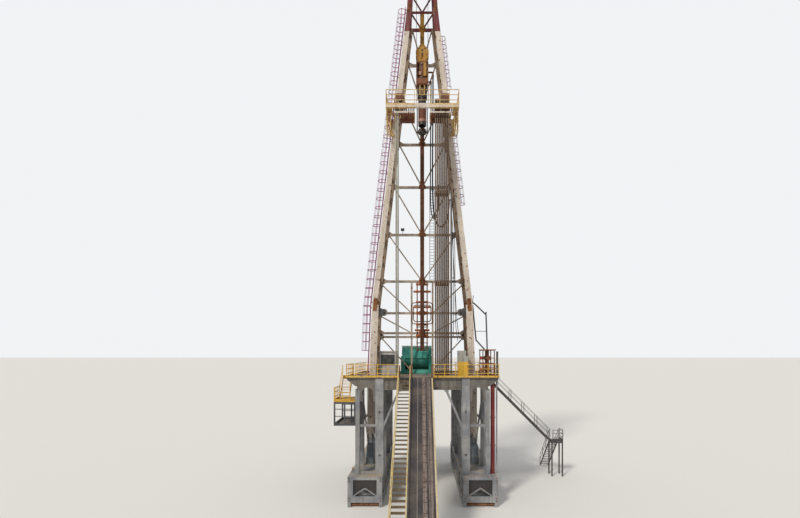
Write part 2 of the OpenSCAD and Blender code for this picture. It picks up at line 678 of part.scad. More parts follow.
// Space between the legs, for the panels that reach in between their flanges.
lap = 25;
function inner_half(z) = mast_half(z) - (z < knee_z ? leg_w_low : leg_w_mid) + lap;
module between_legs(z0, z1) {
    zs = z0 < knee_z && z1 > knee_z ? [z0, knee_z - 0.01, knee_z, z1] : [z0, z1];
    right_side = [for (z = zs) [inner_half(z), z]];
    left_side = [for (i = [len(zs) - 1 : -1 : 0]) [-inner_half(zs[i]), zs[i]]];
    translate([0, leg_rear + 200, 0]) rotate([90, 0, 0]) linear_extrude(400) polygon(concat(right_side, left_side));
}
module back_beam(z) { block([-mast_half(z), back_front, z - beam_h / 2], [mast_half(z), back_front + panel_d, z + beam_h / 2]); }
module back_diagonal(za, xa, zb, xb) {
    y = back_front + panel_d / 2;
    for (s = [-1, 1]) bar([s * xa, y, za], [s * xb, y, zb], lace);
}
module mast_back_lower() { color(cream) at_well() intersection() {
    union() {
        for (z = back_low) back_beam(z);
        back_beam(back_low[0] + 190);
        for (s = [-1, 1]) block([s * portal_half - 45, back_front, floor_h], [s * portal_half + 45, back_front + 90, back_low[2]]);
        back_diagonal(back_low[2], mast_half(back_low[2]), back_low[1], portal_half);
        back_diagonal(back_low[1], mast_half(back_low[1]), back_low[0] + 200, portal_half);
        back_diagonal(back_low[0], mast_half(back_low[0]) - leg_w_low, floor_h + 150, portal_half);
    }
    between_legs(floor_h + fit, back_split);
} }
module mast_back_upper() { color(cream) at_well() intersection() {
    union() {
        for (z = back_high) back_beam(z);
        for (i = [0 : len(back_high) - 1]) {
            below = i == 0 ? back_low[2] : back_high[i - 1];
            back_diagonal(below, 0, back_high[i], mast_half(back_high[i]) - leg_w_mid);
        }
        back_diagonal(back_high[4], 0, top_z, mast_half(top_z) - leg_w_mid);
    }
    between_legs(back_split + fit, top_z - fit);
} }

// Painted top section: two sides, the back, and front ties above the travelling block.
top_levels = [for (t = [0, 0.27, 0.54, 0.79, 1]) lerp(top_z + 60, crown_z - fit - 60, t)];
front_top = 2;
function top_inner(z) = mast_half(z) - leg_w_top + lap;
front_panel = -leg_front - leg_d / 2 + section_t + fit;
module between_top_legs() {
    zt = crown_z - fit;
    translate([0, leg_rear + 2 * leg_d, 0]) rotate([90, 0, 0]) linear_extrude(leg_front + leg_rear + 4 * leg_d) polygon([
        [top_inner(top_z), top_z], [top_inner(zt), zt], [-top_inner(zt), zt], [-top_inner(top_z), top_z]]);
}
module mast_top() { color(red) at_well() {
    zt = crown_z - fit;
    for (s = [-1, 1]) scale([s, 1, 1]) {
        for (y = [-leg_front, leg_rear]) leg(top_z, zt, leg_w_top, y);
        side_lacing(top_levels, leg_w_top);
    }
    intersection() {
        union() {
            for (z = top_levels) top_tie(z, back_front, z == top_levels[0] ? 120 : lace);
            for (i = [0 : 3]) top_v(back_front + panel_d / 2, i);
            for (i = [front_top : 4]) top_tie(top_levels[i], front_panel, lace);
            for (i = [front_top : 3]) top_v(front_panel + panel_d / 2, i);
        }
        between_top_legs();
    }
} }
module top_tie(z, y, h) { block([-mast_half(z), y, z - h / 2], [mast_half(z), y + panel_d, z + h / 2]); }
module top_v(y, i) {
    for (s = [-1, 1]) bar([0, y, top_levels[i]], [s * (mast_half(top_levels[i + 1]) - leg_w_top / 2), y, top_levels[i + 1]], lace);
}

// Crown

crown_sheave_z = crown_z + 430;
axle_d = 100;
module crown_frame() { color(red) at_well() {
    h = 180;
    z1 = crown_z + h;
    deck_x1 = 1050;
    deck_y0 = -leg_front - 350;
    deck_y1 = leg_rear + 350;
    bearing_y = 210;
    for (s = [-1, 1]) block([s * crown_half - 90, deck_y0, crown_z], [s * crown_half + 90, deck_y1, z1 - 20 - fit]);
    for (y = [-leg_front, leg_rear]) block([-deck_x1, y - 70, crown_z], [deck_x1, y + 70, z1 - 20 - fit]);
    // Bearings of the sheave cluster on their own beams.
    difference() {
        for (s = [-1, 1]) {
            block([-crown_half, s * bearing_y - 35, crown_z], [crown_half, s * bearing_y + 35, z1 - 20 - fit]);
            translate([0, s * bearing_y + 35, 0]) rotate([90, 0, 0]) linear_extrude(70) union() {
                polygon([[-220, crown_z + 60], [220, crown_z + 60], [90, crown_sheave_z], [-90, crown_sheave_z]]);
                translate([0, crown_sheave_z]) circle(r = 90, $fn = 48);
            }
        }
        translate([0, 400, crown_sheave_z]) rotate([90, 0, 0]) cylinder(h = 800, d = axle_d + 2 * fit, $fn = 48);
    }
    // Platform plates and rails.
    for (s = [-1, 1]) scale([s, 1, 1]) block([crown_half - 90, deck_y0, z1 - 20], [deck_x1, deck_y1, z1]);
    for (y = [deck_y0, deck_y1 - 26]) translate([-deck_x1, y, z1 + fit]) rail_panel(2 * deck_x1);
    for (x = [-deck_x1 + 26, deck_x1])
        translate([x, deck_y0 + 26 + fit, z1 + fit]) rotate([0, 0, 90]) rail_panel(deck_y1 - deck_y0 - 52 - 2 * fit);
} }

// Grooved sheave with its axle along Y.
module sheave(r, w) {
    rotate([90, 0, 0]) translate([0, 0, -w / 2]) rotate_extrude($fn = 96) polygon([
        [20, 0], [r + 18, 0], [r + 18, 6], [r, w / 2 - 8], [r, w / 2 + 8], [r + 18, w - 6], [r + 18, w], [20, w]]);
}
function sheave_y(i) = (i - (sheaves - 1) / 2) * sheave_pitch;
module crown_sheaves() { color(grey) at_well() translate([0, 0, crown_sheave_z]) {
    for (i = [0 : sheaves - 1]) translate([0, sheave_y(i), 0]) sheave(sheave_r, sheave_pitch - 6);
    rotate([90, 0, 0]) translate([0, 0, -250]) cylinder(h = 500, d = axle_d, $fn = 48);
} }

// Racking board

finger_x0 = slot_half + 20;
board_back = -leg_front - leg_d / 2 - fit;
board_t = 120;
function finger_x(i) = finger_x0 + 30 + i * finger_pitch;
module racking_board() {
    z0 = board_z - board_t;
    outer = mast_half(board_z) + 20;
    back_y = leg_rear + leg_d / 2;
    knee = 900;
    side = 70;
    // Front and back beams.
    block([slot_half, -board_front, z0], [board_half - side - fit, -board_front + 80, board_z]);
    block([slot_half, board_back - 80, z0], [outer, board_back, board_z]);
    // Side beam, walkway outside the mast and its rear bearer.
    block([board_half - side, -board_front, z0], [board_half, back_y, board_z]);
    block([finger_x(fingers - 1) + 60, -board_front + 80 + fit, board_z - 25], [board_half - side - fit, board_back - 80 - fit, board_z]);
    block([outer + 190, board_back - 80, board_z - 25], [board_half - side - fit, -leg_front + 135, board_z]);
    block([outer, -leg_front + 135 + fit, board_z - 25], [board_half - side - fit, back_y - 70 - fit, board_z]);
    block([leg_face(z0) + fit, back_y - 70, z0], [board_half - side - fit, back_y, board_z]);
    // Handrails.
    translate([slot_half, -board_front, board_z + fit]) rail_panel(board_half - slot_half, 700);
    translate([board_half, -board_front + 26 + fit, board_z + fit]) rotate([0, 0, 90]) rail_panel(board_front + back_y - 26 - fit, 700);
    // Knee brace down to a shoe on the mast leg.
    foot = mast_half(board_z - knee);
    bar([board_half - 40, board_back - 45, z0 - 45], [foot - 40, board_back - 45, board_z - knee], 60);
    block([foot - 100, board_back - 75, board_z - knee - 60], [foot + 20, board_back, board_z - knee + 60]);
    block([board_half - 110, board_back - 75, z0 - 70], [board_half, board_back - 15, z0 - fit]);
}
module racking_board_right() { color("#c9a878") at_well() racking_board(); }
module racking_board_left() { color("#c9a878") at_well() left() racking_board(); }
module racking_fingers() { color("#c9a878") at_well()
    for (s = [-1, 1]) for (i = [0 : fingers - 1]) translate([s * finger_x(i), 0, 0])
        block([-finger_w / 2, -board_front + 80 + fit, board_z - 90], [finger_w / 2, board_back - 80 - fit, board_z - 20]); }

// Guide rail and its lower frame

rail_back = rail_y + rail_d;
rail_bottom = 6500;
rail_top = top_z + 660;
bracket_levels = concat([back_low[1], back_low[2]], back_high, [top_z + 60]);
module guide_rail() { color(rust) at_well() {
    block([-rail_w / 2, rail_y, rail_bottom], [rail_w / 2, rail_back, rail_top]);
    for (z = bracket_levels)
        block([-80, rail_back - 10, z - 90], [80, back_front - fit, z + 90]);
} }
frame_y = [rail_back + 8, back_front - fit];
module guide_frame() { color(rust) at_well() {
    rod_x = 250;
    loop_half = 540;
    clamps = [8950, 9480, 9870];
    for (s = [-1, 1]) {
        block([s * rod_x - 20, frame_y[0], rail_bottom], [s * rod_x + 20, frame_y[1], clamps[2] + 60]);
        block([s * loop_half - 18, frame_y[0], 7900], [s * loop_half + 18, frame_y[1], 8900]);
    }
    for (z = clamps) for (s = [-1, 1])
        block([s > 0 ? 80 + fit : -rod_x - 60, frame_y[0], z - 50], [s > 0 ? rod_x + 60 : -80 - fit, frame_y[1], z + 50]);
    for (z = [7900, 8864]) block([-loop_half, frame_y[0], z], [loop_half, frame_y[1], z + 36]);
    block([-rod_x, frame_y[0], rail_bottom], [rod_x, frame_y[1], rail_bottom + 60]);
} }

// Outer face of a leg, which stands a little proud of its level width because the leg is tilted.
leg_tilt_low = atan2(foot_half - knee_half, knee_z - mast_foot_z);
leg_tilt_high = atan2(knee_half - top_half, top_z - knee_z);
function leg_face(z) = mast_half(z)
    + (z < knee_z ? leg_w_low / 2 * (1 / cos(leg_tilt_low) - 1) : leg_w_mid / 2 * (1 / cos(leg_tilt_high) - 1));

// Ladders on the mast

// Ladder beside a leg, following its slope: two rails, rungs and stand-offs to the leg.
ladder_half = 112;
rung_pitch = 150;
module ladder_run(z0, z1, off, y) {
    x0 = mast_half(z0) + off;
    x1 = mast_half(z1) + off;
    for (s = [-1, 1]) bar([x0, y + s * ladder_half, z0], [x1, y + s * ladder_half, z1], 26);
    n = floor((z1 - z0 - 100) / rung_pitch);
    for (i = [0 : n]) {
        z = z0 + 50 + i * rung_pitch;
        x = lerp(x0, x1, (z - z0) / (z1 - z0));
        translate([x - 9, y - ladder_half, z - 9]) cube([18, 2 * ladder_half, 18]);
    }
    m = max(1, round((z1 - z0) / 1500));
    for (i = [0 : m]) {
        z = lerp(z0 + 125, z1 - 125, i / m);
        x = lerp(x0, x1, (z - z0) / (z1 - z0));
        for (s = [-1, 1]) block([leg_face(z - 15) + fit, y + s * 97 - 13, z - 15], [x + 5, y + s * 97 + 13, z + 15]);
        block([x - 9, y - ladder_half, z - 9], [x + 9, y + ladder_half, z + 9]);
    }
}
ladder_off = 75;
module ladder_left() { color("#8a3a4a") at_well() left() {
    ladder_run(floor_h + 3 * fit, knee_z - 5, ladder_off, -leg_front);
    ladder_run(knee_z + 5, top_z - 5, ladder_off, -leg_front);
} }
module ladder_right() { color("#8a3a4a") at_well() {
    ladder_run(13850, 17350, ladder_off, leg_rear);
    ladder_run(19700, 22300, ladder_off, leg_rear);
} }
module ladder_rear() { color("#8a3a4a") at_well() {
    x = 500;
    y = back_front + panel_d;
    for (s = [-1, 1]) block([x + s * ladder_half - 13, y + 120, back_low[2] - 60], [x + s * ladder_half + 13, y + 146, back_high[1]]);
    for (i = [0 : 31]) block([x - ladder_half, y + 124, back_low[2] + i * rung_pitch], [x + ladder_half, y + 142, back_low[2] + i * rung_pitch + 18]);
    for (z = [back_low[2], back_high[0], back_high[1] - 20]) block([x - ladder_half, y + fit, z - 25], [x + ladder_half, y + 130, z + 10]);
} }

// Pipes on the mast and at the floor edge

module elbow(r, d, a) { rotate_extrude(angle = a, $fn = 96) translate([r, 0]) circle(d = d, $fn = 32); }
stand_x = 1450;
stand_y = 450;
stand_top = 14000;
module standpipe() { color(grey) at_well() {
    d = 90;
    bend = 52.5;
    translate([stand_x, stand_y, floor_h + fit]) cylinder(h = stand_top - floor_h - fit, d = d, $fn = 32);
    translate([stand_x - bend, stand_y, stand_top]) rotate([90, 0, 0]) elbow(bend, d, 180);
    translate([stand_x, stand_y, floor_h + fit]) cylinder(h = 30, d = 170, $fn = 32);
    for (z = [back_low[0], back_low[2], back_high[0]])
        block([stand_x - 40, stand_y + 20, z - 40], [stand_x + 40, back_front - fit, z + 40]);
    // Junction where the service loop ends, on a rear beam.
    block([770, 430, 14300], [860, back_front - fit, back_high[1] + 55]);
} }
riser_x = box_out - 115;
riser_y = -floor_front + 260;
module flow_riser() { color(red) at_well() translate([riser_x, riser_y, box_top + fit]) {
    h = deck_bottom - box_top - 2 * fit;
    cylinder(h = h, d = 180, $fn = 48);
    for (z = [0, h - 40]) translate([0, 0, z]) cylinder(h = 40, d = 200, $fn = 48);
} }

// Driller's cabin: hollow walls with windows and a doorway, and a roof

cabin = [[-2050, -500], [-1250, 500]];
cabin_h = 1100;
cabin_t = 30;
// Wall along +X from the origin, l long, in slabs round its openings [start, end, low, high].
module slab_wall(l, holes) {
    starts = concat([0], [for (o = holes) o[1]]);
    ends = concat([for (o = holes) o[0]], [l]);
    for (i = [0 : len(starts) - 1]) block([starts[i], 0, 0], [ends[i] - fit / 2, cabin_t, cabin_h]);
    for (o = holes) {
        block([o[0], 0, 0], [o[1] - fit / 2, cabin_t, o[2]]);
        block([o[0], 0, o[3]], [o[1] - fit / 2, cabin_t, cabin_h]);
    }
}
sill = 480;
head = 950;
module cabin_walls() { color(grey) at_well() translate([cabin[0][0], cabin[0][1], floor_h + fit]) {
    w = cabin[1][0] - cabin[0][0];
    l = cabin[1][1] - cabin[0][1];
    inner = l - 2 * cabin_t - 2 * fit;
    slab_wall(w, [[90, w - 90, sill, head]]);
    translate([0, l - cabin_t, 0]) slab_wall(w, []);
    translate([cabin_t, cabin_t + fit, 0]) rotate([0, 0, 90]) slab_wall(inner, []);
    translate([w, cabin_t + fit, 0]) rotate([0, 0, 90])
        slab_wall(inner, [[60, 500, sill, head], [560, inner - 60, 40, 1000]]);
} }
module cabin_roof() { color(grey) at_well()
    block([cabin[0][0] - 40, cabin[0][1] - 40, floor_h + cabin_h + 2 * fit], [cabin[1][0] + 40, cabin[1][1] + 40, floor_h + cabin_h + 50]); }

// Drawworks housing behind the mast

module drawworks() { color(teal) at_well() {
    x0 = -1150;
    x1 = 600;
    y0 = 950;
    y1 = 2250;
    z0 = floor_h + fit;
    mid = (y0 + y1) / 2;
    block([x0, y0, z0], [x1, y1, z0 + 120]);
    difference() {
        block([x0 + 60, y0 + 60, z0 + 120], [x1 - 60, y1 - 60, z0 + 900]);
        block([x0 + 260, y0 + 50, z0 + 200], [x1 - 260, mid, z0 + 800]);
    }
    // Round guard over the drum.
    translate([x0 + 120, mid, z0 + 900]) rotate([0, 90, 0]) cylinder(h = x1 - x0 - 240, r = 545, $fn = 96);
    // Drum between its flanges.
    translate([x0 + 270, mid - 100, z0 + 500]) rotate([0, 90, 0]) cylinder(h = x1 - x0 - 540, r = 220, $fn = 64);
} }

// Manifold frame and machines on the right of the floor

module manifold() { color("#8a5a4a") at_well() {
    z0 = floor_h + fit;
    x1 = half_floor - 135;
    x0 = x1 - 530;
    y0 = -2700;
    y1 = -1700;
    for (x = [x0, x1 - 40]) for (y = [y0, y1 - 40]) block([x, y, z0], [x + 40, y + 40, z0 + 1180]);
    for (z = [z0 + 40, z0 + 560, z0 + 1140]) {
        for (y = [y0, y1 - 40]) block([x0, y, z], [x1, y + 40, z + 40]);
        for (x = [x0, x1 - 40]) block([x, y0, z], [x + 40, y1, z + 40]);
    }
    block([x0, y0, z0 + 1150], [x1, y1, z0 + 1180]);
    for (z = [z0 + 320, z0 + 820]) translate([(x0 + x1) / 2, y0 + 10, z]) rotate([-90, 0, 0]) cylinder(h = y1 - y0 - 20, d = 110, $fn = 32);
    for (k = [0 : 3]) translate([(x0 + x1) / 2, y0 + 170 + k * 220, z0 + 60]) cylinder(h = 1100, d = 80, $fn = 32);
    for (z = [z0 + 320, z0 + 820]) for (y = [y0 + 60, y1 - 60]) block([x0 + 20, y - 15, z - 15], [x1 - 20, y + 15, z + 15]);
} }
module control_cabinet() { color(yellow) at_well() {
    z0 = floor_h + fit;
    block([1780, -2350, z0], [2000, -2050, z0 + 900]);
    block([1620, -1600, z0], [1980, -1100, z0 + 1150]);
} }

// Racked drill pipe and collars

stand_z1 = board_z + 375;
module stand_pipe_stack(d, jd, z0, z1) {
    cylinder(h = z1 - z0, d = d, $fn = 24);
    joint = 170;
    for (k = [0 : 3]) translate([0, 0, k * (z1 - z0 - joint) / 3]) cylinder(h = joint, d = jd, $fn = 24);
}
module drill_pipe_stands() { color("#7a6a60") at_well()
    for (i = [2 : 9]) for (r = [0 : stand_rows - 1])
        translate([finger_x(i) + finger_pitch / 2, -board_front + 200 + r * 110, floor_h + fit])
            stand_pipe_stack(pipe_d, joint_d, floor_h + fit, stand_z1); }
module drill_collars() { color("#6a625c") at_well()
    for (i = [8, 9]) for (k = [0 : 1]) translate([-finger_x(i) - finger_pitch / 2, -1640 + k * 130, floor_h + fit])
        cylinder(h = board_z + 300 - floor_h, d = collar_d, $fn = 32); }

// Travelling block, top drive and carriage

cheek_t = 40;
stack_half = sheaves * sheave_pitch / 2;
module travelling_block() { color(orange) at_well() translate([0, 0, block_z]) {
    half = block_w / 2;
    for (s = [-1, 1]) translate([0, s * (stack_half + 6 + cheek_t / 2) + cheek_t / 2, 0]) rotate([90, 0, 0])
        linear_extrude(cheek_t) difference() {
            polygon([[-70, 400], [70, 400], [half, 60], [half, -90], [215, -450], [-215, -450], [-half, -90], [-half, 60]]);
            translate([-35, -330]) square([70, 150]);
        }
    // Spacers that join the cheeks, below the sheaves and at the top corners of the slot.
    block([-150, -stack_half - 10, -450], [150, stack_half + 10, -300]);
    for (s = [-1, 1]) translate([s * 45, -stack_half - 10, 345]) rotate([-90, 0, 0]) cylinder(h = 2 * stack_half + 20, d = 40, $fn = 32);
    rotate([90, 0, 0]) translate([0, 0, -stack_half - 60]) cylinder(h = 2 * stack_half + 120, d = 90, $fn = 48);
    for (i = [0 : sheaves - 1]) translate([0, sheave_y(i), 0]) sheave(sheave_r, sheave_pitch - 6);
} }

quill_r = 60;
trunnion_r = 45;
td_top = block_z - 450 - fit;
td_bottom = td_top - 1150;
hose_bend_z = td_top - 330;
hinge_z = td_bottom - 900;
module top_drive() { color("#8a5a2a") at_well() {
    // Side frame with its cross members.
    for (s = [-1, 1]) block([s * 270 - 27, -190, td_bottom], [s * 270 + 27, 190, td_top - 60]);
    block([-297, -190, td_top - 60], [297, 190, td_top]);
    // Motor, gearbox and swivel.
    translate([0, 0, td_bottom + 330]) cylinder(h = 760, r = 200, $fn = 64);
    // Gooseneck that takes the mud hose on the right.
    translate([290, 150, hose_bend_z]) rotate([0, 90, 0]) cylinder(h = 170, d = 80, $fn = 32);
    translate([460, 150, hose_bend_z - 70]) rotate([90, 0, 0]) elbow(70, 80, 90);
    translate([530, 150, 20050]) cylinder(h = hose_bend_z - 70 - 20050, d = 80, $fn = 32);
    translate([530, 150, 20050]) cylinder(h = 30, d = 104, $fn = 32);
    // Gearbox, and the pipe handler round the quill.
    difference() {
        union() {
            block([-270, -220, td_bottom], [270, 220, td_bottom + 330]);
            translate([0, 0, hinge_z - 120]) cylinder(h = 500, r = 190, $fn = 64);
            block([-235, -60, hinge_z + 300], [235, 60, td_bottom]);
            for (s = [-1, 1]) block([s * 200 - 35, -150, hinge_z + 330], [s * 200 + 35, 150, td_bottom]);
            // Trunnions for the elevator links.
            for (s = [-1, 1]) translate([s > 0 ? 150 : -285, 0, hinge_z]) rotate([0, 90, 0]) cylinder(h = 135, r = trunnion_r, $fn = 48);
        }
        translate([0, 0, hinge_z - 130]) cylinder(h = td_bottom - hinge_z + 130 + 20, r = 90, $fn = 64);
        translate([0, 0, td_bottom]) cylinder(h = 200, r = quill_r + fit, $fn = 64);
    }
} }

// Carriage: back plate with arms to the top drive, and shoes round the guide rail
module carriage() { color(rust) at_well() {
    shoe_gap = 5;
    x = rail_w / 2 + shoe_gap;
    plate_y = rail_y - 60;
    z = [td_bottom + 40, td_top - 240];
    for (zz = z) {
        block([-x - 50, plate_y + fit, zz], [x + 50, rail_y - shoe_gap, zz + 200]);
        for (s = [-1, 1]) block([s > 0 ? x : -x - 50, rail_y - shoe_gap + fit, zz], [s > 0 ? x + 50 : -x, rail_back - 6, zz + 200]);
    }
    block([-x - 50, plate_y - 40, z[0]], [x + 50, plate_y, z[1] + 200]);
    for (s = [-1, 1]) for (zz = z) block([s * 110 - 30, 220 + fit, zz], [s * 110 + 30, plate_y - 30, zz + 200]);
    for (s = [-1, 1]) block([s * 283 - 14, 190 + fit, td_bottom + 400], [s * 283 + 14, plate_y, td_bottom + 520]);
    block([-297, plate_y - 40, td_bottom + 400], [297, plate_y, td_bottom + 520]);
    // Arm that carries the service loop.
    block([269, plate_y - 38, 19830], [480, plate_y - 2, 19880]);
    translate([438, plate_y - 20, 19790]) cylinder(h = 60, d = 76, $fn = 32);
} }

module quill() { color("#5a4a40") at_well() {
    translate([0, 0, hinge_z - 420]) cylinder(h = td_bottom + 195 - hinge_z + 420, r = quill_r, $fn = 48);
    translate([0, 0, hinge_z - 560]) cylinder(h = 160, r = 84, $fn = 48);
} }

link_len = 1370;
link_x = 245;
elevator_h = 150;
module elevator_links() { color("#5a4a40") at_well() {
    link_d = 50;
    for (s = [-1, 1]) translate([s * link_x, 0, hinge_z]) difference() {
        union() {
            // Eye round the trunnion, shank and lower eye.
            translate([-25, 0, 0]) rotate([0, 90, 0]) cylinder(h = 50, r = 95, $fn = 64);
            translate([0, 0, 60 - link_len]) cylinder(h = link_len - 130, d = link_d, $fn = 32);
            translate([-25, 0, 60 - link_len]) rotate([0, 90, 0]) cylinder(h = 50, r = 75, $fn = 64);
        }
        for (z = [0, 60 - link_len]) translate([-40, 0, z]) rotate([0, 90, 0])
            cylinder(h = 80, r = (z == 0 ? trunnion_r : 35) + fit, $fn = 64);
    }
} }
// Elevator: body with a throat for the pipe, an open mouth in front and an ear in each link.
module elevator() { color("#5a4a40") at_well() translate([0, 0, hinge_z - link_len]) {
    difference() {
        cylinder(h = elevator_h, r = 200, $fn = 64);
        translate([0, 0, -5]) cylinder(h = elevator_h + 10, r = 62, $fn = 64);
        block([-62, -260, -5], [62, 0, elevator_h + 5]);
    }
    for (s = [-1, 1]) translate([s > 0 ? 180 : -275, 0, 60]) rotate([0, 90, 0]) cylinder(h = 95, r = 35, $fn = 48);
} }

// Drilling lines between the crown sheaves and the travelling block
module drilling_lines() { color(black) at_well()
    for (s = [-1, 1]) for (i = [0 : sheaves - 1])
        translate([s * (sheave_r + line_d / 2 + fit), sheave_y(i), block_z])
            cylinder(h = crown_sheave_z - block_z, d = line_d, $fn = 16); }

// Hoses from the top drive to the mast
module kelly_hose() { color(black) at_well() tube(kelly_route, kelly_d, 3, 10); }
module service_loop() { color(black) at_well() tube(loop_route, loop_d, 3, 10); }

base_box_left();
base_box_right();
mast_pedestal_left();
mast_pedestal_right();
column_frame_left();
column_frame_right();
side_girder_left();
side_girder_right();
cross_girders();
floor_deck();
rotary_table();
front_rail_left();
front_rail_right();
side_rail_left();
side_rail_right();
rear_rail();
v_door_ramp();
ramp_stair();
left_landing();
landing_stair();
right_stair();
right_landing();
mast_left_lower();
mast_right_lower();
mast_left_upper();
mast_right_upper();
mast_back_lower();
mast_back_upper();
mast_top();
crown_frame();
crown_sheaves();
racking_board_left();
racking_board_right();
racking_fingers();
guide_rail();
guide_frame();
ladder_left();
ladder_right();
ladder_rear();
standpipe();
flow_riser();
cabin_walls();
cabin_roof();
drawworks();
manifold();
control_cabinet();
drill_pipe_stands();
drill_collars();
travelling_block();
top_drive();
carriage();
quill();
elevator_links();
elevator();
drilling_lines();
kelly_hose();
service_loop();
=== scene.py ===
"""Dresses the half-scale land drilling rig: weathered finishes, hoses, ropes and the rig's smaller fittings.

Lengths are metres of the half-scale rig. Shapes are given from the well's centre line at ground level,
+X to the right of the V-door side, +Y away from it, and are moved to the rig's own frame when built.
"""

import json
import logging
from collections.abc import Iterable
from dataclasses import dataclass, field, replace
from enum import Enum
from itertools import product
from math import cos, radians, sin, tan, tau

import bpy
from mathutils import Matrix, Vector

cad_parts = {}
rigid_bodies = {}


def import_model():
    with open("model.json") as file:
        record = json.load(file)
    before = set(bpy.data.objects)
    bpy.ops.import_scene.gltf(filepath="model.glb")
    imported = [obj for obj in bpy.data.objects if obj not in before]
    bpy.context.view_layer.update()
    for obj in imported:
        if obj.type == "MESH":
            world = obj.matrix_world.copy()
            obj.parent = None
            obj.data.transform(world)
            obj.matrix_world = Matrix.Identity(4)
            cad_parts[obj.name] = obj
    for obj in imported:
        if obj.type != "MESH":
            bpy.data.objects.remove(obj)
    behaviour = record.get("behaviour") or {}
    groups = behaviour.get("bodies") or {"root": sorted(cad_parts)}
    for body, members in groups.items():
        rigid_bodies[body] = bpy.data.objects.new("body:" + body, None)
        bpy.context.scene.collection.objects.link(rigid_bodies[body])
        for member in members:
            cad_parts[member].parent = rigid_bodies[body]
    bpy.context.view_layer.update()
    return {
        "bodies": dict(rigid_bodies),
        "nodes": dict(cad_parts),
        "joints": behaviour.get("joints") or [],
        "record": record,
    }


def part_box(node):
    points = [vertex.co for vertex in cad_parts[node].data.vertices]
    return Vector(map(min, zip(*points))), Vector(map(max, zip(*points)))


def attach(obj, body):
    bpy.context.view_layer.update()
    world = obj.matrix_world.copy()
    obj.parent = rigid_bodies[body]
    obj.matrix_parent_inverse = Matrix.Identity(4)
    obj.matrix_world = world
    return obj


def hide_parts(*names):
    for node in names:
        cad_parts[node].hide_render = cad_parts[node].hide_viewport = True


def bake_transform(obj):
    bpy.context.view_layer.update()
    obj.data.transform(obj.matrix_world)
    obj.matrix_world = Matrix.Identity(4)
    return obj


LOG = logging.getLogger("rig")
Point = tuple[float, float, float]
Pair = tuple[float, float]
Tree = bpy.types.NodeTree
Socket = bpy.types.NodeSocket
Material = bpy.types.Material
SIDES = (-1, 1)
UP = (0, 0, 1)
FRONT = (0, -1, 0)
# Profiles of a bolt's washer and head as shares of the head's width, each with its count of sides.
WASHER = ([(0, 0.62), (0.12, 0.62)], 12)
HEAD = ([(0.12, 0.5), (0.52, 0.5), (0.58, 0.42)], 6)


class Body(Enum):
    """Bodies of the rig that a piece can ride on."""

    RIG = "rig"
    TRAVELLING = "travelling"
    LINKS = "links"


# Colour and shader helpers


def linear(code: str) -> tuple[float, float, float, float]:
    """Turns a colour code into Blender's linear colour.

    Args:
        code: sRGB colour as #rrggbb.

    Returns:
        Linear red, green, blue and an alpha of 1.
    """
    channels = [int(code[i : i + 2], 16) / 255 for i in (1, 3, 5)]
    red, green, blue = (c / 12.92 if c <= 0.04045 else ((c + 0.055) / 1.055) ** 2.4 for c in channels)
    return red, green, blue, 1.0


def add_node(tree: Tree, kind: str, inputs: dict | None = None, **settings: str) -> bpy.types.Node:
    """Adds one shader node with its settings and links.

    Args:
        tree: node tree that takes the node.
        kind: Blender's type name of the node, without the ShaderNode before it.
        inputs: value, output or node for each input, by name or number. A node gives its first live output.
        settings: attributes of the node.

    Returns:
        The new node.
    """
    node = tree.nodes.new("ShaderNode" + kind)
    for key, value in settings.items():
        setattr(node, key, value)
    for key, value in (inputs or {}).items():
        if isinstance(value, bpy.types.Node):
            value = next(output for output in value.outputs if output.enabled)
        if isinstance(value, Socket):
            tree.links.new(value, node.inputs[key])
        else:
            node.inputs[key].default_value = value
    return node


def start_material(name: str) -> tuple[Material, Tree, Socket]:
    """Starts a node material.

    Args:
        name: name of the material.

    Returns:
        The material, its empty node tree and the socket with the object's own coordinates.
    """
    material = bpy.data.materials.new(name)
    material.use_nodes = True
    tree = material.node_tree
    tree.nodes.clear()
    place = add_node(tree, "TexCoord").outputs["Object"]
    return material, tree, place


def per_metre(size_mm: float) -> float:
    """Noise scale at which one cell of the pattern is size_mm across."""
    return 1000 / size_mm


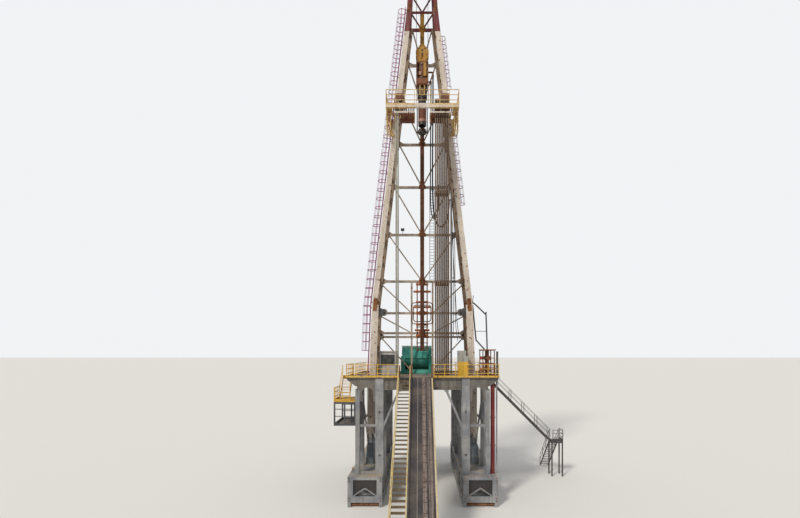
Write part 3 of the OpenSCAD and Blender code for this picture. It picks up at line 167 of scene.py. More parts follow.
@dataclass(frozen=True)
class WeatheredPaint:
    """Brushed alkyd paint on rolled steel, chalked by sun, sanded by wind and rusting at its chips.

    The eye gets a dull coat in two tones, brown runs below each joint, rust spots and pale sand on what
    faces up. Real chips are 5 to 40 mm; they are drawn at chip_mm, because smaller ones would not show.
    """

    name: str
    colour: str
    faded: str
    rust: str = "#6b4028"
    stain: str = "#8d6a4c"
    dust: str = "#b9a07c"
    patch_mm: float = 700.0
    chip_mm: float = 150.0
    rust_share: float = 0.3
    stain_share: float = 0.5
    dust_share: float = 0.6
    roughness: float = 0.62
    upper: str = ""
    split: float = 0.0
    lean: float = 0.0
    painted_shade: str = ""
    painted_shade_from: float = 3.2

    def build(self) -> Material:
        """Builds the material: a coat in two tones under runs, chips and sand.

        Returns:
            The material.
        """
        material, tree, place = start_material(self.name)
        normal = add_node(tree, "NewGeometry").outputs["Normal"]
        broad = add_node(tree, "TexNoise", {"Vector": place, "Scale": per_metre(self.patch_mm),
                                            "Detail": 5.0, "Roughness": 0.62})
        fade = add_node(tree, "MapRange", {0: broad, 1: 0.40, 2: 0.62}).outputs[0]
        paint = self.coat(tree, place, normal, fade)
        # Runs are 50 mm wide and over a metre long, so their noise is stretched along Z.
        tall = add_node(tree, "Mapping", {"Vector": place, "Scale": (18.0, 18.0, 0.9)})
        runs = add_node(tree, "TexNoise", {"Vector": tall, "Scale": 1.0, "Detail": 4.0, "Roughness": 0.6})
        run_mask = add_node(tree, "MapRange", {0: runs, 1: 0.47, 2: 0.70, 4: self.stain_share})
        stained = add_node(tree, "Mix", {0: run_mask, 6: paint, 7: linear(self.stain)}, data_type="RGBA")
        chips = add_node(tree, "TexNoise", {"Vector": place, "Scale": per_metre(self.chip_mm),
                                            "Detail": 8.0, "Roughness": 0.68})
        edge = 0.66 - 0.22 * self.rust_share
        chip_mask = add_node(tree, "MapRange", {0: chips, 1: edge, 2: edge + 0.05})
        rusted = add_node(tree, "Mix", {0: chip_mask, 6: stained, 7: linear(self.rust)}, data_type="RGBA")
        up = add_node(tree, "SeparateXYZ", {0: normal})
        level = add_node(tree, "MapRange", {0: up.outputs[2], 1: 0.55, 2: 0.98, 4: self.dust_share})
        sand_mask = add_node(tree, "Math", {0: level, 1: fade}, operation="MULTIPLY")
        sanded = add_node(tree, "Mix", {0: sand_mask, 6: rusted, 7: linear(self.dust)}, data_type="RGBA")
        rough = add_node(tree, "MapRange", {0: chip_mask, 3: self.roughness, 4: 0.9})
        relief = add_node(tree, "Math", {0: chips, 1: chip_mask}, operation="SUBTRACT")
        bump = add_node(tree, "Bump", {"Height": relief, "Strength": 0.35, "Distance": 0.004})
        shader = add_node(tree, "BsdfPrincipled",
                          {"Base Color": sanded, "Roughness": rough, "Normal": bump,
                           "Metallic": 0.0, "IOR": 1.5, "Specular IOR Level": 0.35})
        add_node(tree, "OutputMaterial", {"Surface": shader})
        return material

    def coat(self, tree: Tree, place: Socket, normal: Socket, fade: Socket) -> Socket:
        """Adds the coat's two tones, a second colour above split and painted shade on the faces toward the
        well.

        Args:
            tree: the material's node tree.
            place: the object's own coordinates.
            normal: direction that the surface faces.
            fade: how far the paint has chalked.

        Returns:
            The coat's colour.
        """
        paint = add_node(tree, "Mix", {0: fade, 6: linear(self.colour), 7: linear(self.faded)},
                         data_type="RGBA")
        if self.upper:
            height = add_node(tree, "VectorMath", {0: place, 1: (0.0, -self.lean, 1.0)},
                              operation="DOT_PRODUCT")
            above = add_node(tree, "MapRange", {0: height, 1: self.split - 0.005, 2: self.split + 0.005})
            paint = add_node(tree, "Mix", {0: above, 6: paint, 7: linear(self.upper)}, data_type="RGBA")
        if self.painted_shade:
            # Painted shade: behind painted_shade_from, what does not face back (+Y) is darkened, for the
            # shade on the rear legs' faces toward the well.
            spot = add_node(tree, "SeparateXYZ", {0: place})
            facing = add_node(tree, "SeparateXYZ", {0: normal})
            behind = add_node(tree, "Math", {0: spot.outputs[1], 1: self.painted_shade_from},
                              operation="GREATER_THAN")
            toward = add_node(tree, "Math", {0: facing.outputs[1], 1: 0.3}, operation="LESS_THAN")
            reach = add_node(tree, "Math", {0: behind, 1: toward}, operation="MULTIPLY")
            paint = add_node(tree, "Mix", {0: reach, 6: paint, 7: linear(self.painted_shade)}, data_type="RGBA")
        return paint


@dataclass(frozen=True)
class WornSteel:
    """Bare steel, hot rolled or drawn, browned by weather and burnished where it is handled.

    The eye gets a dark brown metal with brighter stripes along its length and dull rust between them.
    """

    name: str
    colour: str
    dark: str
    rust: str = "#5d4334"
    stripe: Point = (45.0, 45.0, 1.2)
    rust_share: float = 0.4
    blotch_mm: float = 130.0
    metallic: float = 0.55
    roughness: float = 0.48

    def build(self) -> Material:
        """Builds the material: stripes along one axis, rust blotches and a rougher rust.

        Returns:
            The material.
        """
        material, tree, place = start_material(self.name)
        along = add_node(tree, "Mapping", {"Vector": place, "Scale": self.stripe})
        stripes = add_node(tree, "TexNoise", {"Vector": along, "Scale": 1.0, "Detail": 3.0})
        tone = add_node(tree, "MapRange", {0: stripes, 1: 0.38, 2: 0.62})
        metal = add_node(tree, "Mix", {0: tone, 6: linear(self.dark), 7: linear(self.colour)},
                         data_type="RGBA")
        blotch = add_node(tree, "TexNoise", {"Vector": place, "Scale": per_metre(self.blotch_mm),
                                             "Detail": 7.0, "Roughness": 0.66})
        edge = 0.62 - 0.2 * self.rust_share
        mask = add_node(tree, "MapRange", {0: blotch, 1: edge, 2: edge + 0.1}).outputs[0]
        coat = add_node(tree, "Mix", {0: mask, 6: metal, 7: linear(self.rust)}, data_type="RGBA")
        shine = add_node(tree, "MapRange", {0: mask, 3: self.metallic, 4: 0.05})
        rough = add_node(tree, "MapRange", {0: mask, 3: self.roughness, 4: 0.85})
        bump = add_node(tree, "Bump", {"Height": blotch, "Strength": 0.25, "Distance": 0.002})
        shader = add_node(tree, "BsdfPrincipled", {"Base Color": coat, "Metallic": shine,
                                                   "Roughness": rough, "Normal": bump})
        add_node(tree, "OutputMaterial", {"Surface": shader})
        return material


@dataclass(frozen=True)
class WrappedRubber:
    """Vulcanised rubber hose, cured in a spiral cloth wrap that leaves shallow ridges.

    The eye gets a dull black with grey dust in its hollows. The real wrap is 25 mm wide; it is drawn at
    wrap_mm along Z so that the ridges show.
    """

    name: str = "wrapped rubber"
    colour: str = "#1b1b1d"
    dusty: str = "#302d2b"
    wrap_mm: float = 60.0
    dust_mm: float = 220.0

    def build(self) -> Material:
        """Builds the material: wrap ridges from a wave along Z, and dust in patches.

        Returns:
            The material.
        """
        material, tree, place = start_material(self.name)
        # A wave texture has one ridge per metre at a scale of tau / 20.
        wrap = add_node(tree, "TexWave", {"Vector": place, "Scale": per_metre(self.wrap_mm) * tau / 20,
                                          "Distortion": 1.5}, bands_direction="Z")
        dust = add_node(tree, "TexNoise", {"Vector": place, "Scale": per_metre(self.dust_mm), "Detail": 5.0})
        mask = add_node(tree, "MapRange", {0: dust, 1: 0.45, 2: 0.75, 4: 0.7})
        tint = add_node(tree, "Mix", {0: mask, 6: linear(self.colour), 7: linear(self.dusty)},
                        data_type="RGBA")
        bump = add_node(tree, "Bump", {"Height": wrap.outputs[1], "Strength": 0.3, "Distance": 0.003})
        shader = add_node(tree, "BsdfPrincipled", {"Base Color": tint, "Roughness": 0.7, "IOR": 1.52,
                                                   "Normal": bump, "Specular IOR Level": 0.4})
        add_node(tree, "OutputMaterial", {"Surface": shader})
        return material


@dataclass(frozen=True)
class TintedGlass:
    """Laminated float glass, tinted grey, with a film of sand in soft patches.

    The eye gets a dark pane that mirrors the sky a little.
    """

    name: str = "tinted glass"
    colour: str = "#20282b"
    film: str = "#8d8373"
    film_mm: float = 260.0

    def build(self) -> Material:
        """Builds the material: dark gloss with a dusty film in soft patches.

        Returns:
            The material.
        """
        material, tree, place = start_material(self.name)
        noise = add_node(tree, "TexNoise", {"Vector": place, "Scale": per_metre(self.film_mm),
                                            "Detail": 4.0})
        mask = add_node(tree, "MapRange", {0: noise, 1: 0.5, 2: 0.8, 4: 0.45})
        tint = add_node(tree, "Mix", {0: mask, 6: linear(self.colour), 7: linear(self.film)},
                        data_type="RGBA")
        rough = add_node(tree, "MapRange", {0: mask, 3: 0.06, 4: 0.5})
        shader = add_node(tree, "BsdfPrincipled", {"Base Color": tint, "Roughness": rough, "IOR": 1.52})
        add_node(tree, "OutputMaterial", {"Surface": shader})
        return material


class Finish(Enum):
    """Every finish on the rig."""

    GREY_PAINT = WeatheredPaint("grey brushed paint", "#7d7f83", "#9e9e9c", "#5f4a3d", "#5f564e",
                                rust_share=0.2, stain_share=0.6)
    SHADE_PAINT = WeatheredPaint("blue grey brushed paint", "#737a80", "#858a8d", "#54453b", "#5e5b57",
                                 rust_share=0.25)
    DARK_PAINT = WeatheredPaint("dark grey brushed paint", "#444345", "#575553", "#4b3226", "#4d4036")
    # Girders take a darker grey than the columns: painted shade under the floor deck.
    GIRDER_PAINT = WeatheredPaint("girder paint darkened as painted shade", "#66625d", "#79736c", "#4f3d31", "#4f463d",
                                  rust_share=0.25)
    # Near-black sheet paint for the base boxes' insides: painted shade.
    SOOT_PAINT = WeatheredPaint("dark grey painted shade", "#343231", "#403d3b", "#3a2a22", "#2f2b29",
                                rust_share=0.2, dust_share=0.1)
    YELLOW_PAINT = WeatheredPaint("yellow brushed paint", "#d0a136", "#d9b45c", "#6e3d1f", "#a06a2c",
                                  chip_mm=110.0, rust_share=0.4, dust_share=0.3)
    LANDING_PAINT = WeatheredPaint("landing skid paint", "#3f4244", "#55575a", "#4b3226", "#4d4036",
                                   rust_share=0.25, dust_share=0.3, upper="#cfa038", split=4.305)
    PALE_YELLOW_PAINT = WeatheredPaint("faded yellow paint", "#cbb473", "#d8c99a", "#7a5030", "#a58a58")
    # The cream coat carries painted shade (#857260) on the rear legs' faces toward the well; LEG_PAINT keeps
    # it.
    CREAM_PAINT = WeatheredPaint("cream brushed paint", "#c4b8aa", "#d6cbbd", "#6d4b38", "#a58a70",
                                 patch_mm=520.0, chip_mm=130.0, rust_share=0.36, stain_share=0.55,
                                 painted_shade="#857260")
    LEG_PAINT = replace(CREAM_PAINT, name="cream and red leg paint", upper="#601a26", split=19.70,
                        lean=0.757)
    BACK_PAINT = WeatheredPaint("shaded cream paint", "#a59786", "#b9ab9a", "#5f4434", "#83705d",
                                patch_mm=520.0, chip_mm=130.0, rust_share=0.42, stain_share=0.6)
    RED_PAINT = WeatheredPaint("dark red oxide paint", "#601a25", "#722b30", "#4b1f19", "#5c221f",
                               stain_share=0.4, dust_share=0.3)
    PIPE_RED_PAINT = WeatheredPaint("dark red pipe paint", "#6a2120", "#7a3430", "#43211a", "#50231f",
                                    dust_share=0.3)
    BRIGHT_RED_PAINT = WeatheredPaint("red brushed paint", "#a8322b", "#b3483d", "#5e2419", "#7a2c22",
                                      rust_share=0.2)
    MAROON_PAINT = WeatheredPaint("maroon brushed paint", "#8a4468", "#9d6285", "#5b2f3c", "#74384f",
                                  rust_share=0.2, dust_share=0.2)
    TAN_PAINT = WeatheredPaint("tan brushed paint", "#c9a66a", "#d8c08e", "#7c4d2c", "#a27a4c",
                               chip_mm=120.0, rust_share=0.42, dust_share=0.3)
    RUSTED_PAINT = WeatheredPaint("rusted primer", "#80502f", "#93623c", "#5a3520", "#5d3b25",
                                  patch_mm=420.0, rust_share=0.75, stain_share=0.6, roughness=0.8,
                                  dust_share=0.3)
    GUIDE_PAINT = WeatheredPaint("guide rail paint", "#5c3826", "#6e4731", "#533221", "#59391f",
                                 patch_mm=420.0, rust_share=0.6, roughness=0.75, dust_share=0.2,
                                 upper="#b98a34", split=17.9)
    ORANGE_PRIMER = WeatheredPaint("orange primer", "#b0622c", "#a86b3e", "#6b3a20", "#8a4c26",
                                   rust_share=0.5, roughness=0.75)
    ORANGE_PAINT = WeatheredPaint("orange yellow enamel", "#a97826", "#b48a40", "#5c3519", "#8d5f26",
                                  chip_mm=110.0, rust_share=0.42, roughness=0.5)
    TEAL_PAINT = WeatheredPaint("teal enamel", "#2f9a8b", "#5ab3a4", "#4f3a2a", "#3c7a6e", rust_share=0.2,
                                roughness=0.5)
    BROWN_PAINT = WeatheredPaint("brown oxide paint", "#74462f", "#875a48", "#4e2f22", "#593728",
                                 rust_share=0.45, dust_share=0.45)
    PINK_PLATE = WeatheredPaint("sunbleached oxide plate", "#a87862", "#ba937e", "#6f4634", "#8f6653",
                                rust_share=0.4, dust_share=0.7)
    DRIVE_PAINT = WeatheredPaint("oily drive housing paint", "#2d2827", "#443c37", "#231d1a", "#2a2320",
                                 chip_mm=130.0, rust_share=0.5, roughness=0.45, dust_share=0.2,
                                 upper="#84502e", split=19.39)
    WHITE_PAINT = WeatheredPaint("white cabin enamel", "#a9a9a6", "#bfbdb6", "#7a5a42", "#8a8375",
                                 rust_share=0.2, roughness=0.5)
    CABINET_PAINT = WeatheredPaint("yellow and grey cabinet enamel", "#dfae2c", "#e2bb50", "#6e3d1f",
                                   "#a87432", rust_share=0.2, roughness=0.5, upper="#a5a79f", split=5.98)
    RAMP_PLATE = WeatheredPaint("scuffed ramp plate", "#353235", "#454144", "#40302b", "#544c47",
                                patch_mm=900.0, dust_share=0.15, roughness=0.55)
    SKID_STEEL = WornSteel("polished skid rail steel", "#a39a90", "#7c7168", "#6a5546",
                           stripe=(40.0, 1.5, 1.5), rust_share=0.35)
    SKID_BROWN = WornSteel("brown skid rail steel", "#8a7c74", "#6d5f58", "#5b483d",
                           stripe=(40.0, 1.5, 1.5), rust_share=0.45, metallic=0.3)
    TREAD_STEEL = WornSteel("sandy tread steel", "#85745a", "#6b5a44", "#5b452f", metallic=0.3)
    PIPE_STEEL = WornSteel("drill pipe steel", "#7b6656", "#584738", "#4f3b2e", rust_share=0.45)
    COLLAR_STEEL = WornSteel("drill collar steel", "#aeaa9a", "#837f72", "#6f6354", rust_share=0.35)
    DARK_STEEL = WornSteel("oiled dark steel", "#57504b", "#2f2b29", "#3c2f28", roughness=0.4)
    SHEAVE_STEEL = WornSteel("worn sheave steel", "#8a8279", "#5b544e", "#5a4334", rust_share=0.3)
    ROPE_STEEL = WornSteel("greased rope wire", "#4d4a48", "#272524", "#35302c", stripe=(60.0, 60.0, 30.0),
                           rust_share=0.2, roughness=0.5)
    RUBBER = WrappedRubber()
    GLASS = TintedGlass()

    def material(self) -> Material:
        """The finish's material, built once."""
        return bpy.data.materials.get(self.value.name) or self.value.build()


class Slot(Enum):
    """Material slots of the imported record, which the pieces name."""

    STRUCTURE = "structure_grey"
    RAIL = "rail_yellow"
    PALE_STAIR = "stair_pale_yellow"
    RAMP = "ramp_slate"
    MAST = "mast_cream"
    MAST_RED = "mast_red"
    SHEAVE = "sheave_steel"
    BOARD = "board_tan"
    RUST = "rail_rust"
    LADDER = "ladder_maroon"
    CABIN = "cabin_grey"
    MACHINE = "machine_teal"
    MANIFOLD = "manifold_brown"
    BLOCK = "block_orange"
    DRIVE = "drive_brown"
    DARK = "dark_steel"
    ROPE = "wire_rope"
    HOSE = "hose_black"


NODE_FINISH = {
    Finish.GREY_PAINT: ("base_box_left", "base_box_right", "column_frame_left", "column_frame_right",
                        "rotary_table"),
    Finish.GIRDER_PAINT: ("side_girder_left", "side_girder_right", "cross_girders"),
    Finish.SHADE_PAINT: ("mast_pedestal_left", "mast_pedestal_right", "ladder_rear"),
    Finish.DARK_PAINT: ("floor_deck", "right_stair", "right_landing"),
    Finish.YELLOW_PAINT: ("front_rail_left", "front_rail_right", "side_rail_left", "side_rail_right",
                          "rear_rail", "landing_stair"),
    Finish.LANDING_PAINT: ("left_landing",),
    Finish.CABINET_PAINT: ("control_cabinet",),
    Finish.PALE_YELLOW_PAINT: ("ramp_stair",),
    Finish.RAMP_PLATE: ("v_door_ramp",),
    Finish.CREAM_PAINT: ("mast_left_lower", "mast_right_lower"),
    Finish.BACK_PAINT: ("mast_back_lower", "mast_back_upper"),
    Finish.LEG_PAINT: ("mast_left_upper", "mast_right_upper"),
    Finish.RED_PAINT: ("mast_top", "crown_frame"),
    Finish.PIPE_RED_PAINT: ("flow_riser",),
    Finish.SHEAVE_STEEL: ("crown_sheaves", "standpipe"),
    Finish.TAN_PAINT: ("racking_board_left", "racking_board_right", "racking_fingers"),
    Finish.RUSTED_PAINT: ("guide_frame", "carriage"),
    Finish.GUIDE_PAINT: ("guide_rail",),
    Finish.MAROON_PAINT: ("ladder_left", "ladder_right"),
    Finish.WHITE_PAINT: ("cabin_walls", "cabin_roof"),
    Finish.TEAL_PAINT: ("drawworks",),
    Finish.BROWN_PAINT: ("manifold",),
    Finish.PIPE_STEEL: ("drill_pipe_stands",),
    Finish.COLLAR_STEEL: ("drill_collars",),
    Finish.ORANGE_PAINT: ("travelling_block",),
    Finish.DRIVE_PAINT: ("top_drive",),
    Finish.DARK_STEEL: ("quill", "elevator_links", "elevator"),
    Finish.ROPE_STEEL: ("drilling_lines",),
    Finish.RUBBER: ("kelly_hose", "service_loop"),
}


@dataclass(frozen=True)
class Places:
    """Heights and half-widths of the rig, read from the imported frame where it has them."""

    well: Vector
    floor: float
    front: float
    half_floor: float
    knee: float
    top: float
    crown: float
    foot: float = 2.35
    foot_half: float = 2.616
    knee_half: float = 2.365
    top_half: float = 0.715
    crown_half: float = 0.56
    leg_front: float = -0.75
    leg_rear: float = 0.65
    leg_depth: float = 0.22
    back_face: float = 0.6336

    @staticmethod
    def read(frame: dict) -> "Places":
        """Reads the places from the frame.


        Returns:
            The places, with the well's centre taken from the rotary opening.
        """
        mount = next(m for m in frame["record"]["mounts"] if m["name"] == "rotary_opening")
        well = Vector((mount["pos_m"][0], mount["pos_m"][1], 0.0))
        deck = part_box("floor_deck")
        return Places(well=well, floor=deck[1].z, front=deck[0].y - well.y, half_floor=deck[1].x - well.x,
                      knee=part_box("mast_left_lower")[1].z, top=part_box("mast_left_upper")[1].z,
                      crown=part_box("crown_frame")[0].z)

    @property
    def leg_ys(self) -> Pair:
        """Middle of the front and rear legs."""
        return self.leg_front, self.leg_rear

    def box(self, node: str) -> tuple[float, float, float, float, float, float]:
        """Measures a node from the well.

        Args:
            node: name of the node.

        Returns:
            Its low and high X, low and high Y, and low and high Z.
        """
        low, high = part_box(node)
        x, y, _ = self.well
        return low.x - x, high.x - x, low.y - y, high.y - y, low.z, high.z

    def mast_half(self, z: float) -> float:
        """Measures the mast.

        Args:
            z: height.

        Returns:
            Outer half-width of the mast at that height.
        """
        spans = ((self.foot, self.foot_half, self.knee, self.knee_half),
                 (self.knee, self.knee_half, self.top, self.top_half),
                 (self.top, self.top_half, self.crown, self.crown_half))
        low, low_half, high, high_half = spans[0 if z < self.knee else 1 if z < self.top else 2]
        return low_half + (high_half - low_half) * (z - low) / (high - low)

    def leg_width(self, z: float) -> float:
        """Width of a mast leg at height z."""
        return 0.32 if z < self.knee else 0.24 if z < self.top else 0.17

    def leg_x(self, z: float) -> float:
        """Distance of a leg's middle from the well at height z."""
        return self.mast_half(z) - self.leg_width(z) / 2


def even(low: float, high: float, count: int) -> list[float]:
    """Places at even steps from low to high, both included."""
    return [low + (high - low) * k / (count - 1) for k in range(count)]


def circle(radius: float, count: int, shift: float = 0.0) -> list[Pair]:
    """Points of a circle at even steps, turned by a share of one step."""
    return [(radius * cos(tau * (k + shift) / count), radius * sin(tau * (k + shift) / count))
            for k in range(count)]


def arc(radius: float, first: float, last: float, steps: int) -> list[Pair]:
    """Points of an arc from one angle to another, in degrees."""
    return [(radius * cos(radians(a)), radius * sin(radians(a))) for a in even(first, last, steps + 1)]


def rectangle(width: float, height: float) -> list[Pair]:
    """Corners of a rectangle about its middle."""
    return [(a * width / 2, b * height / 2) for a, b in ((-1, -1), (1, -1), (1, 1), (-1, 1))]


def axes(along: Point) -> tuple[Vector, Vector, Vector]:
    """Finds a direction's unit vector and two more that stand square to it.

    Args:
        along: the direction.

    Returns:
        The unit vector and the two across it.
    """
    line = Vector(along).normalized()
    guide = Vector(UP) if abs(line.z) < 0.9 else Vector((1, 0, 0))
    u = line.cross(guide).normalized()
    return line, u, line.cross(u)


class Shape:
    """Vertices and faces of one piece while it is built, from the well's centre at ground level."""

    def __init__(self) -> None:
        """Starts empty."""
        self.verts: list[Vector] = []
        self.faces: list[tuple[int, ...]] = []

    def skin(self, rings: list[list[Vector]], closed: bool = False) -> None:
        """Adds a skin over a row of rings with equal counts of points, and flat ends.

        Args:
            rings: the rings, in order.
            closed: whether the last ring joins up with the first, without ends.
        """
        first, n, count = len(self.verts), len(rings[0]), len(rings)
        self.verts += [point for ring in rings for point in ring]
        for i in range(count if closed else count - 1):
            a, b = first + i * n, first + (i + 1) % count * n
            self.faces += [(a + k, a + (k + 1) % n, b + (k + 1) % n, b + k) for k in range(n)]
        if not closed:
            last = len(self.verts)
            self.faces += [tuple(range(first + n - 1, first - 1, -1)), tuple(range(last - n, last))]

    def block(self, low: Point, high: Point) -> None:
        """Adds a plain block.

        Args:
            low: one corner.
            high: the opposite corner.
        """
        (x0, x1), (y0, y1), (z0, z1) = (sorted(pair) for pair in zip(low, high))
        self.skin([[Vector(c) for c in ((x0, y0, z), (x1, y0, z), (x1, y1, z), (x0, y1, z))]
                   for z in (z0, z1)])

    def sweep(self, path: list[Point], ring: list[Pair], side: Point = (0, 1, 0), closed: bool = False,
              twist: float = 0.0) -> None:
        """Sweeps a cross-section along a path.

        Args:
            path: points of the centre line.
            ring: cross-section, as offsets across and along the side direction.
            side: direction that the cross-section keeps as its second axis.
            closed: whether the path joins up with its start.
            twist: turn of the cross-section from one point to the next, in radians.
        """
        points = [Vector(p) for p in path]
        count = len(points)
        rings: list[list[Vector]] = []
        for i, point in enumerate(points):
            before = points[i - 1] if closed or i > 0 else point
            after = points[(i + 1) % count] if closed or i < count - 1 else point
            tangent = (after - before).normalized()
            across = tangent.cross(Vector(side))
            across = (tangent.cross(Vector((1, 0, 0))) if across.length < 1e-4 else across).normalized()
            second = across.cross(tangent).normalized()
            ca, sa = cos(twist * i), sin(twist * i)
            rings.append([point + across * (a * ca - b * sa) + second * (a * sa + b * ca) for a, b in ring])
        self.skin(rings, closed)

    def tube(self, path: list[Point], radius: float, sides: int = 12, closed: bool = False) -> None:
        """Adds a round bar or pipe along a path."""
        self.sweep(path, circle(radius, sides), closed=closed)

    def flat(self, path: list[Point], width: float, thick: float, side: Point) -> None:
        """Adds a flat bar along a path; its width lies along the side direction."""
        self.sweep(path, rectangle(thick, width), side)

    def plate(self, outline: list[Point], push: Point) -> None:
        """Adds a plate: an outline pushed through its thickness."""
        base = [Vector(p) for p in outline]
        self.skin([base, [p + Vector(push) for p in base]])

    def lathe(self, centre: Point, axis: Point, profile: list[Pair], sides: int = 32) -> None:
        """Turns a profile round an axis.

        Args:
            centre: point on the axis from which the profile is measured.
            axis: direction of the axis.
            profile: places along the axis with the radius there.
            sides: number of sides round the axis.
        """
        line, u, v = axes(axis)
        self.skin([[Vector(centre) + line * along + (u * c + v * s) * r for c, s in circle(1.0, sides)]
                   for along, r in profile])

    def disc(self, centre: Point, axis: Point, radius: float, thick: float, sides: int = 24) -> None:
        """Adds a round plate with a small chamfer on its outer face."""
        c = min(thick, radius) * 0.2
        self.lathe(centre, axis, [(0, radius), (thick - c, radius), (thick, radius - c)], sides)

    def band(self, centre: Point, axis: Point, radii: Pair, height: float, slope: float, sides: int) -> None:
        """Adds a band with sloped edges round an axis.

        Args:
            centre: middle of its first edge.
            axis: direction of the axis.
            radii: radius at its edges and between them.
            height: length along the axis.
            slope: length of each sloped edge along the axis.
            sides: number of sides round the axis.
        """
        edge, middle = radii
        profile = [(0, edge), (slope, middle), (height - slope, middle), (height, edge)]
        self.lathe(centre, axis, profile, sides)

    def bolts(self, spots: Iterable[Point], axis: Point, size: float) -> None:
        """Adds washers with hexagon heads.

        Args:
            spots: middle of each washer's underside.
            axis: direction that the heads point to.
            size: width of a head across its corners.
        """
        for at in spots:
            for profile, sides in WASHER, HEAD:
                self.lathe(at, axis, [(size * along, size * r) for along, r in profile], sides)

    def bolt_circle(self, centre: Point, axis: Point, radius: float, count: int, size: float) -> None:
        """Adds bolts on a circle round an axis."""
        _, u, v = axes(axis)
        self.bolts([Vector(centre) + u * c + v * s for c, s in circle(radius, count, 0.5)], axis, size)

    def capped_post(self, foot: Point, height: float, radius: float, cap: Pair, sides: int) -> None:
        """Adds an upright post with a round cap.

        Args:
            foot: middle of its foot.
            height: height of the post.
            radius: radius of the post.
            cap: radius and thickness of the cap.
            sides: number of sides.
        """
        x, y, z = foot
        self.tube([foot, (x, y, z + height)], radius, sides)
        self.disc((x, y, z + height), UP, *cap, sides)


@dataclass
class Workshop:
    """Turns shapes into pieces that ride on the rig's bodies, and keeps count of them."""

    places: Places
    made: list[str] = field(default_factory=list)
    sharp_from: float = 34.0

    def piece(self, shape: Shape, name: str, finish: Finish, slot: Slot, body: Body | None = Body.RIG,
              bevel_mm: float = 0.0) -> bpy.types.Object:
        """Makes one piece.

        Args:
            shape: the piece's shape.
            name: name of the piece.
            finish: finish of its whole surface.
            slot: slot of the record that the finish belongs to; not used.
            body: body that the piece rides on, or None to leave it on no body.
            bevel_mm: width of the bevel on its edges, or 0 for none.

        Returns:
            The piece's object.
        """
        mesh = bpy.data.meshes.new(name)
        mesh.from_pydata([v + self.places.well for v in shape.verts], [], shape.faces)
        mesh.polygons.foreach_set("use_smooth", [True] * len(mesh.polygons))
        mesh.set_sharp_from_angle(angle=radians(self.sharp_from))
        mesh.materials.append(finish.material())
        mesh.validate()
        piece = bpy.data.objects.new(name, mesh)
        bpy.context.scene.collection.objects.link(piece)
        if bevel_mm:
            bevel = piece.modifiers.new("edges", "BEVEL")
            bevel.width = bevel_mm / 1000
            bevel.segments = 1
            bevel.limit_method = "ANGLE"
            bevel.angle_limit = radians(50)
        if body:
            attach(piece, body.value)
        self.made.append(name)
        LOG.info("%s: %d faces", name, len(mesh.polygons))
        return piece


@dataclass
class Fittings:
    """A group of the rig's fittings, with the workshop that makes its pieces."""

    shop: Workshop

    @property
    def places(self) -> Places:
        """Heights and half-widths of the rig."""
        return self.shop.places


# Camera and studio


@dataclass
class Studio:
    """Camera at the photograph's place, a pale floor and soft daylight from the front left."""

    places: Places
    eye: Point = (-0.125, -21.2, 6.25)
    lens_mm: float = 19.485
    shift: Pair = (-0.0246, 0.121)
    floor_half: float = 1500.0
    floor_colour: str = "#e6e3de"
    sky_shown: str = "#f1f3f5"
    sky_light: float = 0.62
    sun_strength: float = 1.9
    sun_colour: Point = (1.0, 0.965, 0.91)
    sun_width: float = 9.0
    sun_turn: Point = (48.0, 0.0, -32.0)

    def camera(self) -> None:
        """Sets the level camera that looks along +Y from in front of the ramp."""
        data = bpy.data.cameras.new("photo camera")
        data.lens = self.lens_mm
        data.sensor_width = 36.0
        data.shift_x, data.shift_y = self.shift
        data.clip_end = 5000.0
        camera = bpy.data.objects.new("photo camera", data)
        camera.location = Vector(self.eye) + self.places.well
        camera.rotation_euler = (radians(90), 0.0, 0.0)
        bpy.context.scene.collection.objects.link(camera)
        bpy.context.scene.camera = camera

    def ground(self) -> None:
        """Lays the plain pale floor."""
        h = self.floor_half
        mesh = bpy.data.meshes.new("studio_floor")
        mesh.from_pydata([(-h, -h, 0), (h, -h, 0), (h, h, 0), (-h, h, 0)], [], [(0, 1, 2, 3)])
        material, tree, _ = start_material("studio floor")
        shader = add_node(tree, "BsdfPrincipled", {"Base Color": linear(self.floor_colour),
                                                   "Roughness": 0.95, "Specular IOR Level": 0.1})
        add_node(tree, "OutputMaterial", {"Surface": shader})
        mesh.materials.append(material)
        floor = bpy.data.objects.new("studio_floor", mesh)
        bpy.context.scene.collection.objects.link(floor)

    def light(self) -> None:
        """Sets a soft sun and a sky that the camera and mirrors see pale."""
        world = bpy.data.worlds.new("studio sky")
        bpy.context.scene.world = world
        world.use_nodes = True
        tree = world.node_tree
        tree.nodes.clear()
        path = add_node(tree, "LightPath").outputs
        seen = add_node(tree, "Math", {0: path["Is Camera Ray"], 1: path["Is Glossy Ray"]},
                        operation="MAXIMUM")
        seen = add_node(tree, "Math", {0: seen, 1: path["Is Transmission Ray"]}, operation="MAXIMUM")
        strength = add_node(tree, "MapRange", {0: seen, 3: self.sky_light, 4: 1.0})
        sky = add_node(tree, "Background", {"Color": linear(self.sky_shown), "Strength": strength})
        add_node(tree, "OutputWorld", {"Surface": sky})
        lamp = bpy.data.lights.new("soft sun", "SUN")
        lamp.energy = self.sun_strength
        lamp.angle = radians(self.sun_width)
        lamp.color = self.sun_colour
        sun = bpy.data.objects.new("soft sun", lamp)
        sun.rotation_euler = tuple(radians(a) for a in self.sun_turn)
        bpy.context.scene.collection.objects.link(sun)
        bpy.context.scene.view_settings.view_transform = "Standard"


# Hoses and ropes


